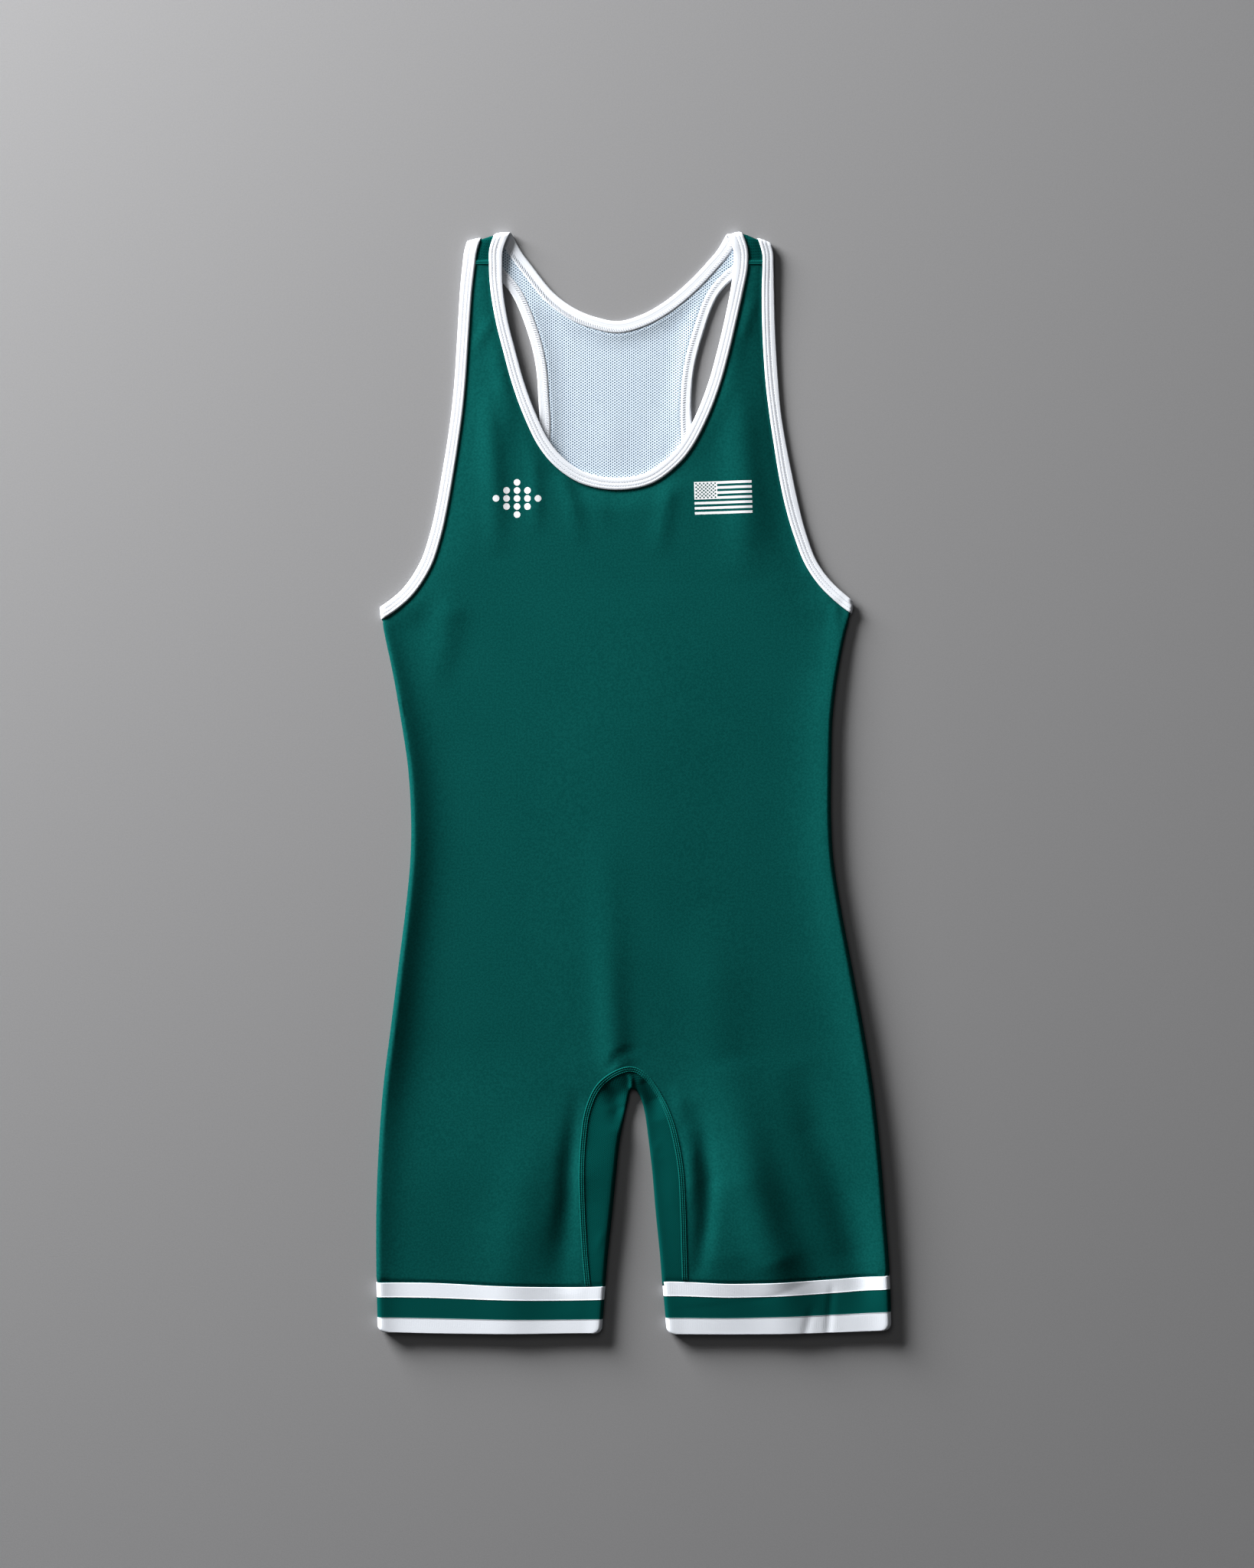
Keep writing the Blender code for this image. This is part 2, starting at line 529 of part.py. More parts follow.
def front_cut(gusset_seam):
    arms, lower = [], []
    for side, binding, inner in ((-1, left_armhole, gusset_seam[0]), (1, right_armhole, gusset_seam[-1])):
        arm = keep(binding.edge_on(FRONT), lambda p: p[:, 1] - SHOULDER_SEAM_Y)
        arm = keep(arm, lambda p: side * (p[:, 0] - seam_place(p[:, 1], side, FRONT)))
        bottom = hem_cut(side_edge(HEM_SEAM_Y, side) - side * SIDE_SEAM_INSET)
        heights = spaced(arm[-1][1], bottom, CELL)[1:-1]
        seam = np.stack([seam_place(heights, side, FRONT), heights], -1)
        turned, rolled = turned_columns(bottom, side), roll_columns(bottom, side)
        level = np.concatenate([rolled, spaced(rolled[-1], inner[0], CELL)[1:-1]])
        plan = np.concatenate([plan_x(turned, bottom, side), level])
        hem = np.stack([np.concatenate([turned, level]), hem_cut(plan)], -1)
        arms.append(arm)
        lower.append(np.vstack([seam, hem]))
    neck_line = keep(neck.edge_on(FRONT), lambda p: p[:, 1] - SHOULDER_SEAM_Y)
    return join_cut(arms, lower, gusset_seam, neck_line[::-1])


def back_cut(gusset_seam):
    def below_strap_end(line):
        return keep(line, lambda p: p[:, 1] - over_shoulder(p[:, 0], SHOULDER_SEAM_Y + SEAM_GAP)[..., 1])

    arms, lower = [], []
    for side, binding, inner in ((-1, left_armhole, gusset_seam[0]), (1, right_armhole, gusset_seam[-1])):
        arm = keep(binding.edge_on(BACK), lambda p: side * (p[:, 0] - seam_place(p[:, 1], side, BACK)))
        arm = below_strap_end(arm)
        bottom_x = seam_place(HEM_SEAM_Y, side, BACK)
        heights = spaced(arm[0][1], hem_cut(bottom_x), CELL)[1:-1]
        seam = np.stack([seam_place(heights, side, BACK), heights], -1)
        xs = spaced(bottom_x, inner[0], BACK_CELL)[:-1]
        arms.append(arm[::-1])
        lower.append(np.vstack([seam, np.stack([xs, hem_cut(xs)], -1)]))
    return join_cut(arms, lower, gusset_seam, below_strap_end(neck.edge_on(BACK)))


def front_inside():
    points = []
    for y in np.arange(-380.0, 128.0, CELL):
        left, right = roll_columns(y, -1), roll_columns(y, 1)
        middle = spaced(left[-1], right[-1], CELL)[1:-1]
        across = (*turned_columns(y, -1)[1:], *left, *middle, *right, *turned_columns(y, 1)[1:])
        points += [(x, y) for x in across]
    for y in np.arange(132.0, 400.0, CELL):
        points += [(x, y) for x in np.arange(-190.0, 165.0, CELL)]
    for binding in (left_armhole, right_armhole):
        points += [place for place in binding.edge_on(FRONT, EDGE_ROW) if place[1] < UNDERARM_ZONE_Y]
    return np.array(points)


def back_inside():
    points = []
    for y in np.arange(-375.0, 420.0, BACK_CELL):
        points += [(x, y) for x in np.arange(-190.0, 190.0, BACK_CELL)]
    step = BACK_EDGE_LEVEL + BACK_EDGE_REACH
    for rows, towards in ((LEFT_ARMHOLE, 1), (RIGHT_ARMHOLE, -1)):
        points += [(x + towards * step, y - step / 3) for layer, x, y, _ in rows if layer == BACK]
    strap_y = BACK_STRAP_Y + BACK_STRAP_FADE
    points += [(x, y - step) for layer, x, y, _ in NECK if layer == BACK and y < strap_y]
    return np.array(points)


def outset(line, off):
    """Moves an open line sideways, to its left."""
    tangent = unit(np.gradient(line, axis=0))
    return line + np.stack([-tangent[:, 1], tangent[:, 0]], -1) * off


def gusset_frame(t):
    """The front seam and the inner fold at t, the way from the fold to the seam, and the fold's height."""
    seam_x, seam_y, fold_x, fold_y, top = np.moveaxis(gusset_rows(t), -1, 0)
    seam, fold = np.stack([seam_x, seam_y], -1), np.stack([fold_x, fold_y], -1)
    return seam, fold, unit(seam - fold), top


def gusset_mid(t, across):
    """Mid surface. t runs along it. across runs to 1 on the front, to 2 round the fold and to 3 below."""
    seam, fold, outward, top = gusset_frame(t)
    radius = (top - PANEL_WALL / 2) / 2
    centre = fold + outward * (PANEL_WALL / 2 + radius)[..., None]
    front, angle = np.clip(across, 0, 1), np.clip(across - 1, 0, 1) * math.pi
    below = np.clip(across - 2, 0, 1) * (GUSSET_BACK_WIDTH - PANEL_WALL / 2 - radius)
    plan = seam + (centre - seam) * front[..., None] + outward * (below - radius * np.sin(angle))[..., None]
    seam_z = front_height(seam[..., 0], seam[..., 1])
    rise = seam_z + (top - seam_z) * ease((front - GUSSET_RISE) / (1 - GUSSET_RISE))
    z = np.where(across <= 1, rise, PANEL_WALL / 2 + radius * (1 + np.cos(angle)))
    return np.concatenate([plan, z[..., None]], -1)


def add_gusset(stations):
    t, across = np.meshgrid(stations, GUSSET_COLUMNS, indexing="ij")
    mid = gusset_mid(t, across).reshape(-1, 3)
    add_sheet("crotch_gusset", mid, grid_faces(*t.shape), PANEL_WALL, MESH_GREEN, 0.6)


def add_leg_band(name, side):
    """The striped band: a flat tube that turns round the leg's outer and inner folds."""
    half = HEM_WALL / 2
    turns = np.linspace(0, math.pi, FOLD_ANGLES)[1:-1]
    shares = np.linspace(0, 1, BAND_COLUMNS)
    rings = []
    for drop in BAND_DROPS:

        def level(x):
            top, bottom = np.moveaxis(hems(x), -1, 0)
            return top + (bottom - top) * drop

        corner = max(0.0, HEM_CORNER_RADIUS - (1 - drop) * BAND_DEPTH)
        inset = HEM_CORNER_RADIUS - math.sqrt(HEM_CORNER_RADIUS**2 - corner**2)
        folds = []
        for sense, edge in ((side, side_edge), (-side, inner_edge)):
            y = level(edge(BAND_MIDDLE_Y, side))
            x = edge(y, side) - sense * inset
            radius = (front_height(x - sense * FOLD_INSIDE, y) - half) / 2
            centre = x - sense * (half + radius)
            turned = [
                (centre + sense * radius * math.sin(angle), y, half + radius + radius * math.cos(angle))
                for angle in turns
            ]
            folds.append((centre, turned))
        (outer, outer_turn), (inner, inner_turn) = folds
        xs = outer + (inner - outer) * shares
        front = np.stack([xs, level(xs), front_height(xs, level(xs))], -1)
        back = np.stack([xs, level(xs), np.full(len(xs), half)], -1)
        rings.append(np.vstack([front, inner_turn, back[::-1], outer_turn[::-1]]))
    points = np.vstack(rings)
    add_sheet(name, points, grid_faces(len(rings), len(rings[0]), ring=True), HEM_WALL, WHITE, 0.6)


for existing in list(bpy.data.objects):
    bpy.data.objects.remove(existing, do_unlink=True)
parts = bpy.data.collections.new("wrestling_singlet")
bpy.context.scene.collection.children.link(parts)

neck = Binding(NECK, -1)
left_armhole = Binding(LEFT_ARMHOLE, 1)
right_armhole = Binding(RIGHT_ARMHOLE, -1)
stations = np.linspace(0, len(GUSSET) - 1, GUSSET_STATIONS)
front_seam, inner_fold, outward, _ = gusset_frame(stations)
back_seam = inner_fold + outward * (GUSSET_BACK_WIDTH + SEAM_GAP)

add_panel("front_panel", front_cut(outset(front_seam, SEAM_GAP)), front_inside(), front_sheet, GREEN, 0.45)
add_panel("back_panel", back_cut(back_seam), back_inside(), back_sheet, MESH_GREEN, 0.6)
add_gusset(stations)
neck.build("neck_binding")
left_armhole.build("left_armhole_binding")
right_armhole.build("right_armhole_binding")
add_leg_band("left_leg_band", -1)
add_leg_band("right_leg_band", 1)
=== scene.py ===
import math
from functools import partialmethod

import bpy
import numpy as np
from mathutils.bvhtree import BVHTree
from mathutils.geometry import delaunay_2d_cdt
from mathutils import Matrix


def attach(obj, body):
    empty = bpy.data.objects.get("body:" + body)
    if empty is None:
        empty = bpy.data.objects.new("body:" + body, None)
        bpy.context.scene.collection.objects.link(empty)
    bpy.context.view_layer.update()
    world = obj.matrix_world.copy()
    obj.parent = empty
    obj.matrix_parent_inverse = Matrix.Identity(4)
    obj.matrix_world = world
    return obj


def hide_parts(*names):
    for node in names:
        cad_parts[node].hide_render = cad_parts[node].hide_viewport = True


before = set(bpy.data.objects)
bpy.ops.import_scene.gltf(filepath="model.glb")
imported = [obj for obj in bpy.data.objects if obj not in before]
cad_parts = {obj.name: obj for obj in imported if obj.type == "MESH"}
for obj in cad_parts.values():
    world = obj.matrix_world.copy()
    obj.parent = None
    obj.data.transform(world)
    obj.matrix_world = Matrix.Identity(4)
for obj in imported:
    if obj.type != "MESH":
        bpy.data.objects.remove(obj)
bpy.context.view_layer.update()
print("frame loaded:", len(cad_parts), "nodes")

# The singlet lies flat, front up, head towards +Y. Shapes are worked out in millimetres.
mm = 0.001
front, back = 1, -1

# How the whole garment lies. Left and right are as seen from above.
lay = {
    "frontHeight": 2.7, "lowestFront": 1.25, "strapTop": 421.0, "middle": -13.0,
    "hemRise": (3.2, -200.0, 120.0),  # the legs stand higher towards their openings
    "foldGain": 1.7,  # how strongly the folds stand out
    "foldAtTape": (4.5, 6.0),  # the folds die out towards the tapes
    # Side folds: y, left x, right x.
    "sides": [
        (136.5, -198.6, 171), (121.5, -196.2, 166.8), (85.5, -188.7, 159.6), (49.5, -182.4, 155.4),
        (13.5, -177, 154.5), (-22.5, -174.6, 154.2), (-58.5, -174.9, 156), (-94.5, -178.2, 161.4),
        (-142.5, -184.2, 170.4), (-190.5, -190.2, 179.4), (-238.5, -196.2, 187.2), (-286.5, -199.8, 192.6),
        (-334.5, -201.6, 196.5), (-382.5, -201.6, 200.1), (-431.4, -200.4, 201.6),
    ],
    # Rolls along the side folds: y, left height and width, right height and width.
    "sideRolls": [
        (136.5, 3.9, 6, 3.9, 7), (120, 4.4, 7, 4.4, 9), (90, 5.4, 8, 5.4, 12), (60, 6.4, 10, 6, 15),
        (0, 7.2, 11.5, 6.6, 16), (-60, 7.4, 11.5, 7.2, 17), (-120, 7.7, 11.5, 7.8, 17),
        (-170, 8.2, 12, 8.2, 17), (-240, 8.2, 12.5, 8.2, 15), (-290, 8.4, 12.5, 8.4, 12),
        (-340, 8.2, 10.5, 8.2, 9.5), (-380, 7.6, 9, 7.6, 8.5), (-431.4, 7.2, 9, 7.2, 9),
    ],
    "rollCrest": 3.4, "rollTop": (158.0, 26.0), "rollShape": 1.4, "foldInside": 3.0,
    # Leg bands: x, top y, bottom y.
    "hems": [
        (-201.6, -390.9, -429.3), (-160.8, -391.2, -430.5), (-106.8, -393.6, -431.1),
        (-22.8, -393.9, -430.5), (21.6, -390.3, -431.1), (79.2, -391.8, -431.4), (139.2, -389.4, -430.5),
        (201.6, -385.5, -428.1),
    ],
    "innerFolds": [(-376.5, -21.0, 21.0), (-431.4, -25.2, 25.8)],
    "innerRoll": {"height": 6.3, "crest": 3.0, "reach": 12.0, "top": -383.0, "fade": 8.0},
    "leftShoulder": [
        (-134.4, 423.6), (-126, 425.6), (-117, 427.2), (-109, 429.6), (-103, 431), (-96, 431.4),
    ],
    "rightShoulder": [
        (76.2, 429.9), (80.4, 431.1), (86.4, 430.5), (90.6, 428.4), (95.4, 426.9), (100.8, 425.4),
        (109.2, 422.4),
    ],
    # Heights of the bound edges on the front: y, neckline, armholes.
    "edgeHeights": [
        (421, 5, 3.4), (407, 4.2, 3.2), (385, 3.8, 2.7), (350, 3.5, 1.9), (320, 3.5, 1.5), (290, 3.6, 1.5),
        (250, 2.6, 1.5), (234, 1.7, 1.6), (193, 1.7, 1.8), (170, 1.8, 2.3), (150, 2.6, 3.2),
        (136, 2.6, 3.9),
    ],
    "edgeLevel": 4.8, "armholeReach": 25.0, "neckReach": 18.0,
    "backEdge": (7.0, 8.0), "backStrap": (385.0, 15.0),
    # Folds, each a path of x, y, half width, height; troughs have negative heights.
    "backFolds": [
        [(-97, 418, 2.5, 0), (-90, 404, 2.5, 0.5), (-79, 379, 3, 0.4), (-74, 362, 3, 0)],
        [(-86, 410, 2.5, 0), (-78, 394, 2.5, 0.35), (-68, 375, 3, 0)],
        [(74, 412, 2.5, 0), (63, 386, 3, 0.5), (52, 368, 3.5, 0.4), (42, 356, 4, 0)],
        [(58, 392, 3, 0), (46, 374, 3.5, 0.4), (32, 362, 4, 0)],
        [(34, 300, 5, 0), (27, 281, 5, 0.5), (21, 262, 5, 0.6), (16, 244, 5, 0)],
        [(48, 306, 5, 0), (44, 286, 5, 0.5), (40, 268, 5, 0)],
        [(-20, 300, 8, 0), (-17, 270, 8, 0.35), (-16, 246, 8, 0)],
    ],
    "folds": [
        # Chest.
        [(-112.8, 313.5, 8, 0), (-112.2, 283.5, 8, 0.9), (-109.8, 241.5, 8.5, 1.1), (-108.6, 205.5, 9, 0.7),
         (-108, 175.5, 10, 0)],
        [(-106.8, 343.5, 6, 0), (-103.2, 313.5, 6, 0.5), (-99.6, 283.5, 6, 0.5), (-98.4, 259.5, 6, 0)],
        [(-82.8, 268.5, 5, 0), (-78, 247.5, 5, 0.5), (-76.8, 217.5, 5.5, 0.6), (-76.8, 193.5, 6, 0)],
        [(-60, 250.5, 5, 0), (-54.6, 238.5, 5, 0.7), (-47.4, 214.5, 6, 0.6), (-42.6, 184.5, 7, 0)],
        [(-37.8, 229.5, 5, 0), (-25.8, 214.5, 6, 0.3), (-19.8, 193.5, 7, 0)],
        [(32.4, 238.5, 5, 0), (26.4, 223.5, 6, 0.6), (22.2, 199.5, 7, 0.5), (19.2, 175.5, 8, 0)],
        [(80.4, 331.5, 14, 0), (84, 277.5, 14, 1.1), (86.4, 229.5, 14, 1.5), (88.2, 193.5, 15, 1),
         (88.2, 157.5, 16, 0)],
        [(139.2, 241.5, 24, 0), (134.4, 193.5, 28, -0.9), (141.6, 151.5, 24, -0.9), (150, 109.5, 18, 0)],
        # Underarms and straps.
        [(156.6, 142.5, 2.5, 0), (157.8, 134.7, 3, 0.8), (159.6, 121.5, 5, 0.7), (161.4, 97.5, 6, 0)],
        [(-148.8, 157.5, 10, 0), (-145.8, 133.5, 13, 0.9), (-150, 103.5, 12, 0.6), (-154.8, 73.5, 9, 0)],
        [(-111, 364.5, 2.5, 0), (-115.2, 356.7, 3, 0.6), (-120, 347.1, 3, 0.6), (-124.8, 336.3, 3, 0)],
        [(93.6, 382.5, 3, 0), (91.2, 370.5, 3, 0.5), (87, 355.5, 3, 0.5), (84, 344.7, 3, 0)],
        # Belly to crotch.
        [(4.2, 157.5, 60, 0), (1.2, 43.5, 65, 0.8), (-1.8, -136.5, 65, 1), (-4.8, -226.5, 50, 0.6),
         (-6, -250.5, 40, 0)],
        [(-22.8, -34.5, 15, 0), (-21, -94.5, 14, 0.5), (-18.6, -160.5, 12, 1.2), (-15.6, -214.5, 11, 1.7),
         (-13.8, -229.5, 9, 1.2)],
        [(-18.5, -218.5, 1.8, 0), (-13.5, -213.2, 2.2, -0.75), (-6.5, -210.2, 2.6, -0.65),
         (4, -211.5, 3, 0)],
        [(-22.5, -225, 1.5, 0), (-17.2, -220.6, 1.6, -0.45), (-10.8, -217.6, 1.8, -0.4),
         (-4, -216.5, 2, 0)],
        [(58.2, -94.5, 24, 0), (62.4, -154.5, 24, 0.8), (66, -226.5, 22, 0.9), (67.2, -274.5, 15, 0)],
        # Left leg.
        [(-44.4, -238.5, 6, 0), (-47, -268.5, 6.5, -0.9), (-51, -298.5, 7, -1.7), (-52, -328.5, 7.5, -2),
         (-54, -358.5, 11, -1.7), (-55, -376.5, 12, -1.1), (-55, -400.5, 12, -0.3)],
        [(-76.8, -262.5, 16, 0), (-84, -310.5, 20, 0.9), (-91.2, -352.5, 22, 1.3), (-96, -382.5, 22, 1.1),
         (-96, -433.5, 20, 0.4)],
        [(-40.8, -286.5, 3, 0), (-40.8, -307.5, 3.5, 0.6), (-41.4, -328.5, 3, 0)],
        # Right leg.
        [(48, -250.5, 6, 0), (55, -280.5, 6.5, -1.3), (58.5, -310.5, 7, -2.1), (56.5, -346.5, 6.5, -1.7),
         (52.5, -376.5, 6, -0.7), (52, -388.5, 6, 0)],
        [(39, -268.5, 3, 0), (44.4, -292.5, 3.5, 0.8), (45.6, -313.5, 3.5, 0.6), (45, -334.5, 3, 0)],
        [(30, -235.5, 3, 0), (36, -250.5, 4, 0.7), (40.2, -268.5, 4, 0)],
        [(43.2, -226.5, 30, 0), (50.4, -274.5, 34, 1), (62.4, -322.5, 34, 1.7), (73.2, -370.5, 32, 1.9),
         (79.2, -406.5, 32, 0.6), (79.2, -430.5, 32, 0)],
        [(76.8, -214.5, 20, 0), (81.6, -268.5, 21, 2.1), (90, -310.5, 20, 3.8), (101.4, -346.5, 19, 4.2),
         (111.6, -373.5, 19, 4.2), (120, -397.5, 19, 1.7), (124.8, -433.5, 20, 0.5)],
        [(127.2, -220.5, 16, 0), (141.6, -271.5, 16, -1.8), (162, -322.5, 18, -2.5),
         (174, -367.5, 17, -2.6), (180, -394.5, 14, -1.4), (183.6, -415.5, 12, 0)],
        # Right band.
        [(154.8, -390.9, 2.5, 0), (154.2, -403.5, 2.5, -0.45), (151.8, -427.5, 2.5, -0.4),
         (150.6, -435.3, 2.5, -0.2)],
        [(140.4, -406.5, 3, 0), (136.8, -419.7, 3, -0.3), (133.2, -433.5, 3, -0.3)],
    ],
}

cloth = {
    "panelWall": 0.7, "frontGrid": 3.6, "backGrid": 7.0, "foldTurns": 10,
    "tuck": 3.0, "hemTuck": 2.4,  # how far the cloth runs under tapes and leg bands
    "sink": 0.35, "sinkZone": (0.8, 1.2, 3.6),  # beside the tapes
    "hemSink": 0.8, "hemZone": (2.4, 2.2),
    # Rows of points beside the side folds, tapes, leg bands and gusset seams, and the room left clear.
    "rollRows": (3.4, 5.4, 8, 11, 14.5), "tapeRows": (-0.8, 0.5, 1.6, 3), "hemRows": (0.2, 1.3, 2.4, 3.8),
    "seamRows": (1, 2.2, 3.6), "tapeClear": 4.6, "rimClear": 0.9,
    # Where the rows and grids of points run.
    "hemRun": (42.0, 189.0), "bodyY": (-386.0, 140.0), "strapX": (-200.0, 175.0), "strapY": (140.0, 407.0),
    "backX": (-193.0, 196.0), "backY": (-384.0, 436.0),
}


def through(rows):  # smooth curves through the columns of a table whose first column is the place
    rows = np.array(sorted(rows), float)
    places, values = rows[:, 0], rows[:, 1:]
    slopes = np.gradient(values, places, axis=0)

    def at(place):
        place = np.clip(np.asarray(place, float), places[0], places[-1])
        i = np.clip(np.searchsorted(places, place) - 1, 0, len(places) - 2)
        span = (places[i + 1] - places[i])[..., None]
        t = (place - places[i])[..., None] / span
        rise = t * t * (3 - 2 * t)
        bend = span * t * (1 - t) * ((1 - t) * slopes[i] - t * slopes[i + 1])
        return np.moveaxis(values[i] * (1 - rise) + values[i + 1] * rise + bend, -1, 0)

    return at


def ease(t):
    t = np.clip(t, 0.0, 1.0)
    return t * t * (3 - 2 * t)


def project(x, y, line):  # to each step of a line: how far off in plan, and at which share of the step
    start, step = line[:-1], np.diff(line, axis=0)
    x, y = np.asarray(x, float)[..., None] - start[:, 0], np.asarray(y, float)[..., None] - start[:, 1]
    t = np.clip((x * step[:, 0] + y * step[:, 1]) / (step[:, :2] ** 2).sum(1), 0, 1)
    return np.hypot(x - t * step[:, 0], y - t * step[:, 1]), t


def distance(x, y, line):
    return project(x, y, line)[0].min(-1)


def nearest(x, y, lines):
    return np.minimum.reduce([distance(x, y, line) for line in lines])


def beside(*columns):
    return np.stack(columns, -1)


def gridPlaces(xs, ys):
    return beside(*np.meshgrid(xs, ys)).reshape(-1, 2)


def unit(vectors):
    return vectors / np.linalg.norm(vectors, axis=-1, keepdims=True)


def runAlong(points):  # the length of a line up to each of its points
    return np.concatenate([[0], np.cumsum(np.linalg.norm(np.diff(points, axis=0), axis=-1))])


# Tapes: x, y, width along the middle of the tape, down the front first.
tapes = {
    "neck": {
        front: [
            (-107.1, 419, 10.5), (-108, 405, 10.2), (-107.1, 385.5, 9.6), (-103.2, 361.5, 9.2),
            (-97.2, 337.5, 9.2), (-90.6, 313.5, 9.2), (-81.9, 289.5, 9.2), (-70.2, 265.5, 9.2),
            (-57.6, 250.5, 9.2), (-39.6, 238.8, 9.2), (-13.2, 234, 9.2), (12, 238.5, 9.2),
            (31.2, 252.3, 9.2), (42, 265.5, 9.2), (54.3, 289.5, 9.2), (63.3, 313.5, 9.2),
            (69.9, 337.5, 9.2), (75.6, 361.5, 9.2), (80.6, 385.5, 9.8), (83.6, 405, 11), (83, 419, 11),
        ],
        back: [
            (72, 418.5, 10), (61.2, 405, 9.2), (43.2, 386.4, 9.2), (25.2, 372, 9.2), (7.2, 362.1, 9.2),
            (-12, 357, 9.2), (-28.8, 359.7, 9.2), (-46.8, 366.6, 9.2), (-64.8, 379.5, 9.2),
            (-82.8, 401.4, 9.2), (-95, 418.5, 10),
        ],
    },
    "leftArmhole": {
        front: [
            (-127.6, 417, 9.6), (-129.3, 405, 9.6), (-131.4, 385.5, 9.2), (-133.8, 349.5, 8.8),
            (-136.2, 313.5, 8.6), (-138.6, 289.5, 8.6), (-141.9, 265.5, 8.6), (-145.8, 241.5, 8.8),
            (-150, 217.5, 8.8), (-155.4, 193.5, 9), (-163.8, 169.5, 9.2), (-180.9, 145.5, 9.2),
        ],
        back: [
            (-187, 128.5, 9.2), (-168, 131, 9.2), (-136.8, 150, 9.2), (-108, 177, 9.2), (-84, 213, 9.2),
            (-73.2, 247.5, 9), (-69.9, 277.5, 8.6), (-70.8, 301.5, 8), (-72.6, 325.5, 8), (-78, 349.5, 8),
            (-91.7, 383.3, 8), (-107.2, 401.8, 8.2), (-119.5, 414, 9),
        ],
    },
    "rightArmhole": {
        front: [
            (104.6, 416, 8.4), (105.2, 405, 8.6), (105.2, 385.5, 9.6), (106.1, 349.5, 10),
            (108.4, 313.5, 9.9), (110.9, 289.5, 9.2), (114.6, 265.5, 9.5), (118.9, 241.5, 10.3),
            (124, 217.5, 10.4), (130.7, 193.5, 9.6), (140.4, 169.5, 9.1), (157.4, 148.5, 9),
        ],
        back: [
            (159.8, 132.7, 9.1), (140, 135.4, 9.2), (109.2, 152.5, 9.2), (80, 177, 9.2), (58.2, 207, 9.2),
            (46.2, 240, 9), (41.4, 277.5, 8.6), (41.1, 301.5, 8), (43.5, 325.5, 8), (49.5, 349.5, 8),
            (62.3, 383.3, 8), (79.6, 401.8, 8.2), (95, 413.5, 8.6),
        ],
    },
    "half": 1.0,  # from the cloth's middle to the face of the tape
    "wall": 0.5, "step": 2.2, "turnStep": 0.7, "shoulderZone": 300.0, "underarmZone": 170.0,
    "blend": 9.0,  # where the tape crosses a fold, its two sides are blended over this length
    # Across the tape: the edge that insets are measured from, then inset and height of the leaf's middle.
    "section": [
        ("cloth", [
            (0, 0.5), (0.25, 0.82), (1.4, 0.92), (2, 0.84), (2.5, 0.66), (3, 0.8), (3.9, 0.79),
            (4.9, 0.66), (5.4, 0.47), (5.9, 0.6), (6.6, 0.6),
        ]),
        ("nose", [
            (0.97, 0.5), (0.55, 0.43), (0.33, 0.26), (0.25, 0), (0.33, -0.33), (0.55, -0.6), (0.97, -0.74),
        ]),
        ("cloth", [
            (6.4, -0.76), (5.4, -0.66), (3.9, -0.76), (2.5, -0.66), (1.4, -0.76), (0.25, -0.72), (0, -0.5),
        ]),
    ],
}


def layerLine(name, layer):
    return np.array([row[:2] for row in tapes[name][layer]])


sides, sideRolls = through(lay["sides"]), through(lay["sideRolls"])
innerFolds, hems = through(lay["innerFolds"]), through(lay["hems"])
leftShoulder, rightShoulder = through(lay["leftShoulder"]), through(lay["rightShoulder"])
edgeHeights = through(lay["edgeHeights"])
frontNeck = layerLine("neck", front)
frontArmholes = [layerLine(name, front) for name in ("leftArmhole", "rightArmhole")]
backTapes = [layerLine(name, back) for name in ("neck", "leftArmhole", "rightArmhole")]


def sideEdge(y, side):
    return sides(y)[0 if side < 0 else 1]


def innerEdge(y, side):
    return innerFolds(y)[0 if side < 0 else 1]


def foldRelief(folds, x, y):
    height = np.zeros(np.shape(x))
    for path in folds:
        path = np.array(path, float)
        reach = 3 * path[:, 2].max()
        low, high = path[:, :2].min(0) - reach, path[:, :2].max(0) + reach
        near = (x > low[0]) & (x < high[0]) & (y > low[1]) & (y < high[1])
        away, t = project(x[near], y[near], path)
        part, rows = away.argmin(1), np.arange(len(away))
        t, away = t[rows, part], away[rows, part]
        width, rise = (path[part, 2:] + t[:, None] * np.diff(path, axis=0)[part, 2:]).T
        height[near] += rise * np.exp(-((away / width) ** 2))
    return height


